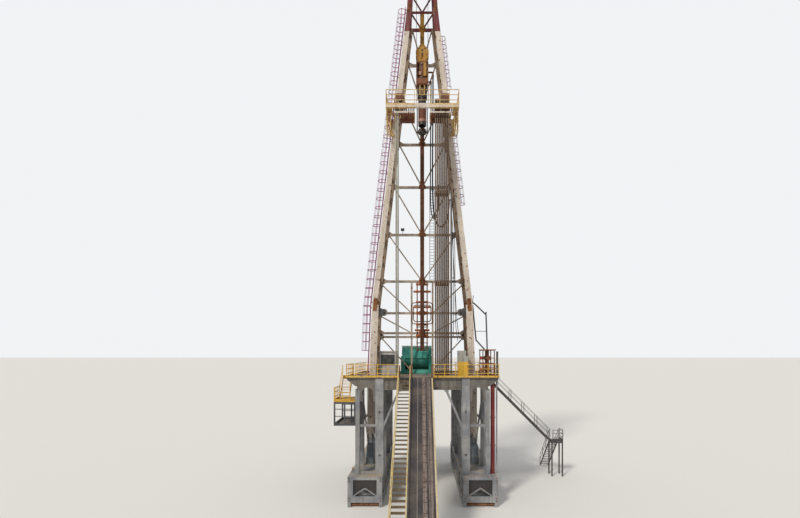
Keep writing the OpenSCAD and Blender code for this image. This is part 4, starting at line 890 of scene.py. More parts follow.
def smooth_route(route: list[Point], steps: int) -> list[Point]:
    """Runs a smooth curve through a hose's points.

    Args:
        route: the hose's own points.
        steps: number of steps from one point to the next.

    Returns:
        Points along the curve.
    """
    last = len(route) - 1
    curve: list[Point] = []
    for i in range(last):
        a, b, c, d = route[max(i - 1, 0)], route[i], route[i + 1], route[min(i + 2, last)]
        for k in range(steps):
            t = k / steps
            curve.append(tuple(0.5 * (2 * b[j] + (c[j] - a[j]) * t
                                      + (2 * a[j] - 5 * b[j] + 4 * c[j] - d[j]) * t * t
                                      + (3 * b[j] - a[j] - 3 * c[j] + d[j]) * t ** 3) for j in range(3)))
    return curve + [route[last]]


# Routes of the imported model, from the top drive down, round the loop and up to the mast.
MUD_HOSE_ROUTE = [
    (0.53, 0.15, 20.0496), (0.53, 0.15, 19.9), (0.531, 0.152, 19.65), (0.532, 0.156, 19.3),
    (0.531, 0.162, 18.8), (0.526, 0.17, 18.1), (0.52, 0.18, 17.3), (0.514, 0.19, 16.4),
    (0.51, 0.2, 15.5), (0.512, 0.21, 14.8), (0.52, 0.22, 14.2), (0.54, 0.234, 13.7),
    (0.59, 0.252, 13.26), (0.67, 0.272, 12.94), (0.78, 0.302, 12.74), (0.91, 0.332, 12.67),
    (1.04, 0.364, 12.72), (1.16, 0.394, 12.88), (1.26, 0.42, 13.15), (1.32, 0.438, 13.48),
    (1.345, 0.45, 13.8), (1.345, 0.45, 13.9992)]
FEED_BUNDLE_ROUTE = [
    (0.438, 0.32, 19.7896), (0.438, 0.32, 19.6), (0.437, 0.322, 19.3), (0.434, 0.328, 18.9),
    (0.43, 0.34, 18.3), (0.424, 0.352, 17.5), (0.418, 0.366, 16.6), (0.414, 0.38, 15.7),
    (0.412, 0.392, 14.9), (0.414, 0.402, 14.3), (0.424, 0.412, 13.84), (0.45, 0.424, 13.47),
    (0.5, 0.434, 13.23), (0.57, 0.444, 13.12), (0.645, 0.454, 13.12), (0.715, 0.462, 13.23),
    (0.77, 0.47, 13.44), (0.802, 0.477, 13.74), (0.813, 0.48, 14.02), (0.815, 0.48, 14.2996)]


@dataclass
class Hose(Fittings):
    """A hose that hangs from the travelling gear in one long loop and comes up to the mast."""

    name: str
    node: str
    diameter: float
    route: list[Point]
    ferrule: float
    sides: int = 20
    steps: int = 6

    def make(self) -> None:
        """Makes the hose and the pressed ferrules at its ends."""
        path = smooth_route(self.route, self.steps)
        shape = Shape()
        shape.tube(path, self.diameter / 2, self.sides)
        hose = self.shop.piece(shape, self.name, Finish.RUBBER, Slot.HOSE, body=None)
        well = self.places.well
        top, end = self.route[0], self.route[-1]
        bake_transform(hose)
        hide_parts(self.node)
        # A smooth mouth, then three crimped rings, and a thin skirt on the hose.
        steps = [(0.0, 1.34), (0.03, 1.34), (0.032, 1.16), (0.06, 1.2), (0.062, 1.12), (0.09, 1.2),
                 (0.092, 1.12), (0.12, 1.2), (self.ferrule, 1.04)]
        for tag, at, body in (("top", top, Body.TRAVELLING), ("end", end, Body.RIG)):
            cap = Shape()
            cap.lathe(at, (0, 0, -1), [(along, self.diameter / 2 * r) for along, r in steps], 24)
            self.shop.piece(cap, f"{self.name}_{tag}_ferrule", Finish.DARK_STEEL, Slot.DARK, body)


@dataclass
class DrillingLines(Fittings):
    """Ten parts of six-strand wire rope between the crown sheaves and the travelling block."""

    foot: float = 21.0
    head: float = 26.48
    reach: float = 0.2799
    pitch: float = 0.056
    diameter: float = 0.019
    groove: float = 0.84
    step: float = 0.03
    lay_length: float = 0.36

    def make(self) -> None:
        """Makes the ropes. The real lay is 0.12 m; it is drawn at lay_length so that its twist shows."""
        ring = [(a * r, b * r) for (a, b), r in zip(circle(self.diameter / 2, 12), 6 * (1.0, self.groove))]
        count = round((self.head - self.foot) / self.step)
        shape = Shape()
        for s, i in product(SIDES, range(-2, 3)):
            path = [(s * self.reach, i * self.pitch, z) for z in even(self.foot, self.head, count + 1)]
            shape.sweep(path, ring, twist=s * tau * self.step / self.lay_length)
        ropes = self.shop.piece(shape, "drilling_rope_parts", Finish.ROPE_STEEL, Slot.ROPE, body=None)
        x, y, _ = self.places.well
        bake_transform(ropes)
        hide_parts("drilling_lines")


# Mast


@dataclass
class MastFittings(Fittings):
    """Splices and gussets, raising sheaves, pins, a floodlight, pipes and winch boxes on the mast."""

    back_levels: tuple[float, ...] = (7.2, 7.39, 8.4, 10.0, 12.35, 14.75, 16.9, 18.9, 20.9)
    clip_levels: tuple[float, ...] = (8.4, 10.0, 12.35)
    lower_levels: tuple[float, ...] = (2.95, 3.9, 4.72, 5.7, 6.6533, 7.6067, 8.56)
    upper_span: Pair = (8.8, 22.4)
    upper_count: int = 14
    top_shares: tuple[float, ...] = (0.27, 0.54, 0.79)
    sheave_level: float = 8.3
    sheave_radius: float = 0.17
    lamp: Point = (-0.98, 0.66, 12.405)
    winch_box: Pair = (18.2, 18.52)
    plate: float = 0.012
    bolt: float = 0.028

    def make(self) -> None:
        """Makes all the mast's fittings."""
        self.splices()
        self.rear_gussets()
        self.side_gussets()
        self.raising_sheaves()
        self.foot_pins()
        self.floodlight()
        self.side_pipes()
        self.winches()
        self.conduits()

    def splices(self) -> None:
        """Splice plates with bolts over the knee joint and the joint below the painted top."""
        p, shape = self.places, Shape()
        for z, half, reach, inset in ((p.knee, 0.09, 0.3, 0.14), (p.top, 0.065, 0.22, 0.1)):
            low, high = z - reach, z + reach
            xl, xh = p.mast_half(low) - inset, p.mast_half(high) - inset
            for s, y, face in product(SIDES, p.leg_ys, SIDES):
                y0 = y + face * p.leg_depth / 2
                shape.plate([(s * (xl - half), y0, low), (s * (xl + half), y0, low),
                             (s * (xh + half), y0, high), (s * (xh - half), y0, high)],
                            (0, face * self.plate, 0))
                spots = [(s * (p.mast_half(zb) - inset) + side * half * 0.6, y0 + face * self.plate, zb)
                         for zb in (z + k * reach for k in (-0.8, -0.5, -0.2, 0.2, 0.5, 0.8))
                         for side in SIDES]
                shape.bolts(spots, (0, face, 0), self.bolt)
        self.shop.piece(shape, "leg_splice_plates", Finish.RUSTED_PAINT, Slot.MAST)

    def rear_gussets(self) -> None:
        """Gusset plates where the rear beams meet the rear legs."""
        p, shape = self.places, Shape()
        y = p.back_face - self.plate
        corners = ((0, -0.17), (0, 0.17), (0.2, 0.055), (0.34, 0.05), (0.34, -0.05), (0.2, -0.055))
        for z, s in product(self.back_levels, SIDES):
            edge = p.mast_half(z) - p.leg_width(z) - 0.004
            shape.plate([(s * (edge - a), y, z + b) for a, b in corners], (0, self.plate - 0.0004, 0))
            shape.bolts([(s * (edge - a), y, z) for a in (0.06, 0.13, 0.2, 0.28)], FRONT, self.bolt)
        self.shop.piece(shape, "rear_beam_gussets", Finish.BACK_PAINT, Slot.MAST)

    def side_gussets(self) -> None:
        """Rusty node plates where the side lacing meets the legs, and cable clamps inside the front legs."""
        p, shape = self.places, Shape()
        levels = [*self.lower_levels, *even(*self.upper_span, self.upper_count)]
        levels += [p.top + 0.06 + (p.crown - p.top - 0.12) * t for t in self.top_shares]
        corners = ((0, -0.16), (0.1, -0.13), (0.2, -0.035), (0.2, 0.035), (0.1, 0.13), (0, 0.16))
        marks = ((0.05, -0.08), (0.05, 0.08), (0.14, 0))
        for z, s in product(levels, SIDES):
            x = p.leg_x(z) + (0.05 if z < p.knee else 0.042)
            for y, turn in ((p.leg_front, 1), (p.leg_rear, -1)):
                y0 = y + turn * (p.leg_depth / 2 - 0.03)
                shape.plate([(s * x, y0 + turn * a, z + b) for a, b in corners], (s * self.plate, 0, 0))
                shape.bolts([(s * (x + self.plate), y0 + turn * a, z + b) for a, b in marks],
                            (s, 0, 0), self.bolt * 0.8)
            inner, y0 = p.mast_half(z) - p.leg_width(z), p.leg_front - 0.03
            shape.block((s * inner, y0, z - 0.05), (s * (inner - 0.05), y0 + 0.1, z + 0.05))
        self.shop.piece(shape, "side_lacing_gussets", Finish.RUSTED_PAINT, Slot.RUST)

    def raising_sheaves(self) -> None:
        """Raising sheaves between cheek plates on the inner side of the front legs."""
        frames, wheels = Shape(), Shape()
        z, radius = self.sheave_level, self.sheave_radius
        inner = self.places.mast_half(z) - self.places.leg_width(z) - 0.006
        x = inner - 0.24
        rim = [(0, 0.05), (0, radius), (0.014, radius), (0.026, radius - 0.03), (0.038, radius),
               (0.052, radius), (0.052, 0.05)]
        for s in SIDES:
            for y in (-0.80, -0.70):
                frames.plate([(s * inner, y, z - 0.2), (s * inner, y, z + 0.24),
                              (s * (x - 0.05), y, z + 0.1), (s * (x - 0.07), y, z - 0.03),
                              (s * (x - 0.02), y, z - 0.1)], (0, 0.016, 0))
            frames.block((s * inner, -0.84, z - 0.24), (s * (inner - 0.03), -0.66, z + 0.28))
            frames.lathe((s * x, -0.83, z), (0, 1, 0), [(0, 0.035), (0.19, 0.035)], 20)
            frames.bolts([(s * x, -0.80, z)], FRONT, 0.09)
            wheels.lathe((s * x, -0.776, z), (0, 1, 0), rim, 40)
        self.shop.piece(frames, "raising_sheave_cheeks", Finish.DARK_PAINT, Slot.STRUCTURE, bevel_mm=3)
        self.shop.piece(wheels, "raising_sheaves", Finish.SHEAVE_STEEL, Slot.SHEAVE)

    def foot_pins(self) -> None:
        """Rings of bolts round the pin on both sides of each mast foot."""
        shape = Shape()
        inner, outer, *_ = self.places.box("mast_pedestal_right")
        for s, y, side in product(SIDES, self.places.leg_ys, SIDES):
            x = s * (inner + outer) / 2 + side * 0.162
            shape.bolt_circle((x, y, self.places.foot - 0.02), (side, 0, 0), 0.1, 6, 0.03)
        self.shop.piece(shape, "foot_pin_bolts", Finish.DARK_STEEL, Slot.DARK)

    def floodlight(self) -> None:
        """Floodlight on a stalk on the left half of a rear beam."""
        shape, lens = Shape(), Shape()
        x, y, z = self.lamp
        shape.tube([(x, y, z), (x, y, z + 0.12)], 0.012, 10)
        shape.plate([(x - 0.09, y - 0.09, z + 0.12), (x + 0.09, y - 0.09, z + 0.12),
                     (x + 0.06, y + 0.05, z + 0.15), (x - 0.06, y + 0.05, z + 0.15)], (0, -0.02, 0.13))
        for xk in even(x - 0.07, x + 0.062, 5):
            shape.block((xk, y + 0.03, z + 0.16), (xk + 0.006, y + 0.07, z + 0.26))
        lens.plate([(x - 0.078, y - 0.112, z + 0.135), (x + 0.078, y - 0.112, z + 0.135),
                    (x + 0.078, y - 0.126, z + 0.235), (x - 0.078, y - 0.126, z + 0.235)], (0, -0.004, 0))
        self.shop.piece(shape, "mast_floodlight", Finish.DARK_PAINT, Slot.DARK, bevel_mm=3)
        self.shop.piece(lens, "mast_floodlight_glass", Finish.GLASS, Slot.DARK)

    def side_pipes(self) -> None:
        """Two bent pipes from the right front leg out and down to the floor's edge."""
        shape = Shape()
        y, foot = -0.62, self.places.floor + 0.001
        back = y + 0.12
        outer = [(2.37, y, 8.75), (2.46, y, 8.74), (2.98, y, 8.24), (3.03, y, 8.12), (3.12, y, foot)]
        inner = [(2.42, back, 8.55), (2.56, back, 7.1), (2.62, back, 6.95), (3.02, back, 6.5),
                 (3.06, back, 6.38), (3.06, back, foot)]
        for path in (outer, inner):
            shape.tube(smooth_route(path, 5), 0.034, 14)
        shape.tube([(2.52, y + 0.06, 7.42), (3.07, y + 0.02, 7.42)], 0.014, 10)
        shape.tube([(2.37, y, 8.7), (2.43, y, 9.12)], 0.016, 10)
        shape.tube([(2.31, y, 8.7), (2.35, y, 8.98)], 0.014, 10)
        for x, yy, _ in (outer[-1], inner[-1]):
            shape.disc((x, yy, foot), UP, 0.06, 0.014, 20)
            shape.bolt_circle((x, yy, foot + 0.014), UP, 0.045, 6, 0.016)
        for x, yy, z in ((2.37, y, 8.75), (2.41, back, 8.6)):
            shape.block((x - 0.03, yy - 0.05, z - 0.06), (x + 0.03, yy + 0.05, z + 0.06))
        self.shop.piece(shape, "side_vent_pipes", Finish.DARK_PAINT, Slot.DARK)

    def winches(self) -> None:
        """Brown winch boxes strapped to the front legs just above the board, with a drum below each."""
        p = self.places
        shape, drums = Shape(), Shape()
        low, high = self.winch_box
        y0, y1 = p.leg_front - 0.285, p.leg_front - 0.113
        x = p.mast_half((low + high) / 2)
        drum = [(0, 0.07), (0.015, 0.07), (0.016, 0.045), (0.224, 0.045), (0.225, 0.07), (0.24, 0.07)]
        for s in SIDES:
            xa, xb = sorted((s * (x - 0.3), s * (x + 0.06)))
            shape.block((xa, y0 + 0.06, low), (xb, y1, high))
            for xk in even(xa + 0.03, xb - 0.03, 4):
                shape.block((xk - 0.008, y0 + 0.045, low + 0.02), (xk + 0.008, y0 + 0.06, high - 0.02))
            drums.lathe(((xa + xb) / 2 - 0.12, y0 + 0.07, low - 0.05), (1, 0, 0), drum, 28)
            for xk in (xa + 0.02, xb - 0.02):
                shape.block((xk - 0.01, y0 + 0.05, low - 0.09), (xk + 0.01, y1, low))
        self.shop.piece(shape, "leg_winch_boxes", Finish.BROWN_PAINT, Slot.RUST, bevel_mm=3)
        self.shop.piece(drums, "leg_winch_drums", Finish.ROPE_STEEL, Slot.ROPE)

    def conduits(self) -> None:
        """Steel conduits down the right side of the mast, clipped to its rear beams."""
        shape = Shape()
        y = self.places.back_face - 0.112
        runs = (((1.42, 14.7), (1.62, 12.3), (1.66, 8.3), (1.78, 7.0)),
                ((1.5, 12.42), (1.72, 8.38), (1.86, 7.1)),
                ((1.3, 16.85), (1.36, 14.75), (1.54, 12.2), (1.56, 7.25)))
        for k, run in enumerate(runs):
            path = smooth_route([(x, y - 0.03 * k, z) for x, z in run], 5)
            shape.tube(path, 0.016, 10)
            for level in self.clip_levels:
                xk, yk, zk = min(path, key=lambda at: abs(at[2] - level))
                shape.block((xk - 0.03, yk - 0.02, zk - 0.03), (xk + 0.03, y + 0.03, zk + 0.03))
        self.shop.piece(shape, "mast_side_conduits", Finish.DARK_PAINT, Slot.DARK)


@dataclass
class LadderCage(Fittings):
    """Hooped safety cage round one ladder: bent flat hoops and straps that run along them."""

    name: str
    low: float
    high: float
    side: int
    y: float
    off: float = 0.075
    reach: float = 0.34
    half: float = 0.185
    pitch: float = 0.42

    def make(self) -> None:
        """Makes the cage from its lowest to its highest hoop."""
        shape = Shape()
        # Reach and sideways offset of a hoop's points, from rail to rail.
        bow = [(self.reach - self.half + a, b) for a, b in arc(self.half, -90, 90, 8)]
        hoop = [(0.0, -0.112), (0.03, -0.15), *bow, (0.03, 0.15), (0.0, 0.112)]
        rows: list[list[Point]] = []
        for z in even(self.low, self.high, max(2, round((self.high - self.low) / self.pitch)) + 1):
            x0 = self.places.mast_half(z) + self.off
            rows.append([(self.side * (x0 + a), self.y + b, z) for a, b in hoop])
            shape.flat(rows[-1], 0.03, 0.008, UP)
        for k, across in ((2, (1, 0, 0)), (4, (0, 1, 0)), (6, (0, 1, 0)), (8, (0, 1, 0)), (10, (1, 0, 0))):
            shape.flat([row[k] for row in rows], 0.026, 0.007, across)
        self.shop.piece(shape, self.name, Finish.MAROON_PAINT, Slot.LADDER)


@dataclass
class GuideGear(Fittings):
    """Frame at the lower end of the guide rail, and the clamps that hold the rail to the rear beams."""

    y: float = 0.5955
    rod_x: float = 0.25
    rail_low: float = 6.5
    rod_top: float = 9.93
    loops: tuple[Point, ...] = ((0.525, 7.86, 8.92), (0.44, 7.97, 8.8))
    corner: float = 0.14
    clamp_levels: tuple[Pair, ...] = ((7.27, 0.31), (7.54, 0.37), (7.82, 0.31), (8.42, 0.31), (8.7, 0.42),
                                      (8.95, 0.31), (9.48, 0.44), (9.84, 0.31))
    brackets: tuple[float, ...] = (7.39, 8.4, 10.0, 12.35, 14.75, 16.9, 18.9, 20.9, 22.7)
    bracket_front: float = 0.576

    def make(self) -> None:
        """Makes the frame, its clamps and the rail's brackets."""
        self.frame()
        self.clamps()

    def frame(self) -> None:
        """Two rods, two loops with round corners between them, and the ties to the rail."""
        frame, y = Shape(), self.y
        for s in SIDES:
            foot = (s * self.rod_x, y, self.rail_low)
            frame.capped_post(foot, self.rod_top - self.rail_low, 0.029, (0.036, 0.018), 16)
        r = self.corner
        for half, low, high in self.loops:
            corners = ((half - r, high - r), (r - half, high - r), (r - half, low + r), (half - r, low + r))
            frame.tube([(x + a, y, z + b) for k, (x, z) in enumerate(corners)
                        for a, b in arc(r, 90 * k, 90 * k + 90, 5)], 0.024, 12, closed=True)
        for z, s in product((6.9, 7.7, 8.35), SIDES):
            frame.block((s * 0.1, y - 0.03, z - 0.02), (s * 0.3, y + 0.034, z + 0.02))
        frame.block((-self.rod_x, y - 0.035, self.rail_low), (self.rod_x, y + 0.035, self.rail_low + 0.06))
        piece = self.shop.piece(frame, "guide_lower_frame", Finish.RUSTED_PAINT, Slot.RUST)
        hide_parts("guide_frame")

    def clamps(self) -> None:
        """Bolted clamps on the rods and brackets on the rail."""
        clamps, y, front = Shape(), self.y, self.bracket_front
        for (z, half), s in product(self.clamp_levels, SIDES):
            clamps.block((s * 0.1, y - 0.018, z - 0.05), (s * half, y + 0.036, z + 0.05))
            clamps.band((s * self.rod_x, y, z - 0.085), UP, (0.032, 0.037), 0.17, 0.01, 20)
            clamps.bolts([(s * x, y - 0.018, z) for x in (0.15, 0.2, half - 0.03)], FRONT, 0.03)
        for z, s in product(self.brackets, SIDES):
            clamps.block((s * 0.08, front, z - 0.1), (s * 0.165, 0.632, z + 0.1))
            clamps.bolts([(s * 0.135, front, z + b) for b in (-0.06, 0.06)], FRONT, 0.026)
        self.shop.piece(clamps, "guide_rail_clamps", Finish.ORANGE_PRIMER, Slot.RUST, bevel_mm=3)


@dataclass
class CrownFittings(Fittings):
    """Rope guards over the crown sheaves, bearing caps and bolts on the crown's beams."""

    axle: float = 0.43
    guard_radius: float = 0.302
    guard_y: float = 0.165

    def make(self) -> None:
        """Makes the guards and caps."""
        crown = self.places.crown
        axle = crown + self.axle
        guards, caps = Shape(), Shape()
        for s in SIDES:
            path = [(x, s * self.guard_y, axle + z) for x, z in arc(self.guard_radius, 14.4, 165.6, 18)]
            guards.flat(path, 0.03, 0.01, (0, 1, 0))
        for x, z in arc(self.guard_radius - 0.003, 18, 162, 6):
            guards.tube([(x, s * (self.guard_y + 0.005), axle + z) for s in SIDES], 0.008, 8)
        for s in SIDES:
            caps.disc((0, s * 0.252, axle), (0, s, 0), 0.075, 0.02)
            caps.bolt_circle((0, s * 0.272, axle), (0, s, 0), 0.05, 6, 0.02)
            caps.bolts([(x, s * 0.245, crown + 0.11) for x in (-0.5, -0.3, 0.3, 0.5)], (0, s, 0), 0.03)
        self.shop.piece(guards, "crown_rope_guards", Finish.DARK_PAINT, Slot.DARK)
        self.shop.piece(caps, "crown_bearing_caps", Finish.RED_PAINT, Slot.MAST_RED, bevel_mm=2)


@dataclass
class BoardFittings(Fittings):
    """Baskets, finger covers and latches, panels, front walkway and ribs of the racking board."""

    board: float = 17.5
    front: float = -1.8
    half: float = 1.65
    slot: float = 0.34
    first_finger: float = 0.39
    pitch: float = 0.084
    fingers: int = 12
    basket_x: Pair = (1.455, 1.63)
    basket_y: Pair = (-1.5, -0.93)
    basket_depth: float = 0.98

    def make(self) -> None:
        """Makes the board's fittings."""
        self.baskets()
        self.finger_covers()
        self.wind_panels()
        self.front_walkway()
        self.latches()
        self.beam_details()

    def finger_xs(self) -> list[float]:
        """Middle of each finger, the left half's first."""
        return [s * (self.first_finger + i * self.pitch) for s in SIDES for i in range(self.fingers)]

    def baskets(self) -> None:
        """Open baskets that hang below the walkway outside each front leg."""
        shape = Shape()
        low, high = self.board - self.basket_depth, self.board - 0.121
        (x0, x1), (y0, y1) = self.basket_x, self.basket_y
        for s in SIDES:
            for x, y in product((x0, x1), (y0, (y0 + y1) / 2, y1)):
                shape.tube([(s * x, y, low), (s * x, y, high)], 0.015, 8)
            for z in (low, low + 0.3, low + 0.6):
                shape.tube([(s * x0, y0, z), (s * x1, y0, z), (s * x1, y1, z), (s * x0, y1, z)], 0.013, 8,
                           closed=True)
            for y in (y0 + (y1 - y0) * (k + 0.5) / 7 for k in range(7)):
                shape.flat([(s * x0, y, low), (s * x1, y, low)], 0.02, 0.006, UP)
        self.shop.piece(shape, "board_end_baskets", Finish.TAN_PAINT, Slot.BOARD)

    def finger_covers(self) -> None:
        """Brown wear covers under the fingers, and a cream strip along the front beam that is a painted
        highlight on its face.
        """
        covers, strip = Shape(), Shape()
        low, y = self.board - 0.107, self.front
        for x in self.finger_xs():
            covers.block((x - 0.024, y + 0.085, low), (x + 0.024, -0.975, low + 0.016))
            covers.bolts([(x, yk, low) for yk in even(y + 0.16, y + 0.81, 6)], (0, 0, -1), 0.022)
        # Cream strip on the front beam's face: painted highlight.
        for s in SIDES:
            strip.block((s * self.slot, y - 0.006, self.board - 0.098),
                        (s * self.half, y - 0.0004, self.board - 0.002))
        self.shop.piece(covers, "finger_wear_covers", Finish.BROWN_PAINT, Slot.BOARD)
        self.shop.piece(strip, "board_front_highlight_strip", Finish.CREAM_PAINT, Slot.BOARD)

    def wind_panels(self) -> None:
        """Ribbed brown panels above and below the beam behind the fingers, with plates between these."""
        shape, z = Shape(), self.board
        inner, y0, y1 = self.slot + 0.005, -0.94, -0.926
        for s in SIDES:
            for x in (self.first_finger + k * self.pitch for k in range(8)):
                shape.block((s * max(inner, x - self.pitch + 0.0125), -0.9585, z - 0.119),
                            (s * (x - 0.0125), -0.9565, z - 0.001))
            for low, high, outer in ((z - 0.37, z - 0.1204, 1.02), (z + 0.0004, z + 0.14, 1.0)):
                xa, xb = sorted((s * inner, s * outer))
                shape.block((xa, y0, low), (xb, y1, high))
                for x in even(xa + 0.02, xb - 0.02, 9):
                    shape.block((x - 0.011, y0 - 0.012, low + 0.01), (x + 0.011, y0, high - 0.01))
        self.shop.piece(shape, "board_wind_panels", Finish.BROWN_PAINT, Slot.BOARD)

    def front_walkway(self) -> None:
        """Channel, rails and gate posts across the slot, and the beam hung below the board's front."""
        channel, rails, hung = Shape(), Shape(), Shape()
        x, y, z = self.slot - 0.0005, self.front, self.board
        # The fourth block is the cream strip across the slot: painted highlight on the front beam's face.
        for y0, y1, low, high in ((0, 0.012, -0.12, 0), (0.012, 0.08, -0.012, 0),
                                  (0.012, 0.08, -0.12, -0.108), (-0.006, -0.0004, -0.098, -0.002),
                                  (0, 0.012, 0.0004, 0.08)):
            channel.block((-x, y + y0, z + low), (x, y + y1, z + high))
        for height in (0.2223, 0.4557, 0.689):
            rails.tube([(-x, y + 0.013, z + height), (x, y + 0.013, z + height)], 0.0105, 10)
        for post, top in ((-0.262, 0.71), (0.262, 0.96)):
            channel.capped_post((post, y + 0.04, z - 0.0005), top + 0.0005, 0.02, (0.024, 0.01), 14)
        for s in SIDES:
            hung.block((s * 0.345, y + 0.025, z - 0.336), (s * 1.285, y + 0.065, z - 0.276))
            for at in (0.36, 0.83, 1.27):
                hung.flat([(s * at, y + 0.045, z - 0.1204), (s * at, y + 0.045, z - 0.2765)], 0.03, 0.008,
                          (0, 1, 0))
        self.shop.piece(channel, "board_walkway_channel", Finish.CREAM_PAINT, Slot.BOARD)
        self.shop.piece(rails, "board_gate_rails", Finish.TAN_PAINT, Slot.BOARD)
        self.shop.piece(hung, "board_hung_beam", Finish.CREAM_PAINT, Slot.BOARD)

    def latches(self) -> None:
        """Latch on each finger tip and at its middle."""
        shape, z = Shape(), self.board
        for x, y in product(self.finger_xs(), (self.front + 0.12, -1.34)):
            shape.block((x - 0.008, y, z - 0.019), (x + 0.008, y + 0.09, z + 0.012))
            shape.tube([(x, y + 0.02, z), (x, y + 0.02, z + 0.04)], 0.006, 8)
        self.shop.piece(shape, "finger_latches", Finish.ORANGE_PRIMER, Slot.BOARD)

    def beam_details(self) -> None:
        """Ribs on the front beam, the tube along its lower edge and the arms that carry the hung beam."""
        shape, y, z = Shape(), self.front, self.board
        for s in SIDES:
            for x in even(self.slot + 0.05, self.half - 0.05, 9):
                shape.block((s * x - 0.006, y - 0.01, z - 0.115), (s * x + 0.006, y, z - 0.005))
            ends = [(s * x, y - 0.007, z - 0.108) for x in (self.slot + 0.02, self.half - 0.02)]
            shape.tube(ends, 0.007, 10)
            for x in (0.36, 1.27):
                shape.flat([(s * x, y + 0.066, z - 0.32), (s * x, -0.9, z - 0.36)], 0.03, 0.03, (1, 0, 0))
        self.shop.piece(shape, "board_beam_ribs", Finish.TAN_PAINT, Slot.BOARD)


# Travelling gear


@dataclass
class BlockFittings(Fittings):
    """Rims, slot plates and bolts on the cheeks of the travelling block."""

    pin: float = 21.0
    face: float = 0.186
    half: float = 0.312
    rim_share: float = 0.93

    def make(self) -> None:
        """Makes the rims and slot plates."""
        rims, hubs = Shape(), Shape()
        corners = [(-0.07, 0.4), (0.07, 0.4), (self.half, 0.06), (self.half, -0.09), (0.215, -0.45),
                   (-0.215, -0.45), (-self.half, -0.09), (-self.half, 0.06)]
        for s in SIDES:
            for (xa, za), (xb, zb) in zip(corners, corners[1:] + corners[:1]):
                rims.sweep([(x * self.rim_share, s * (self.face + 0.006), self.pin + z * self.rim_share)
                            for x, z in ((xa, za), (xb, zb))], rectangle(0.032, 0.012))
                for x, z, size in ((xa * 0.84, za * 0.84, 0.034),
                                   ((xa + xb) * 0.43, (za + zb) * 0.43, 0.03)):
                    rims.bolts([(x, s * self.face, self.pin + z)], (0, s, 0), size)
            slot = [(x, s * self.face, self.pin - 0.02 + z + (0.11 if z > 0 else -0.11))
                    for x, z in circle(0.042, 20, 0.5)]
            hubs.plate(slot, (0, s * 0.013, 0))
            hubs.bolts([(0, s * (self.face + 0.013), self.pin + z) for z in (-0.1, 0.06)], (0, s, 0), 0.05)
        self.shop.piece(rims, "block_cheek_rims", Finish.ORANGE_PAINT, Slot.BLOCK, Body.TRAVELLING)
        self.shop.piece(hubs, "block_slot_plates", Finish.DARK_STEEL, Slot.DARK, Body.TRAVELLING, bevel_mm=2)


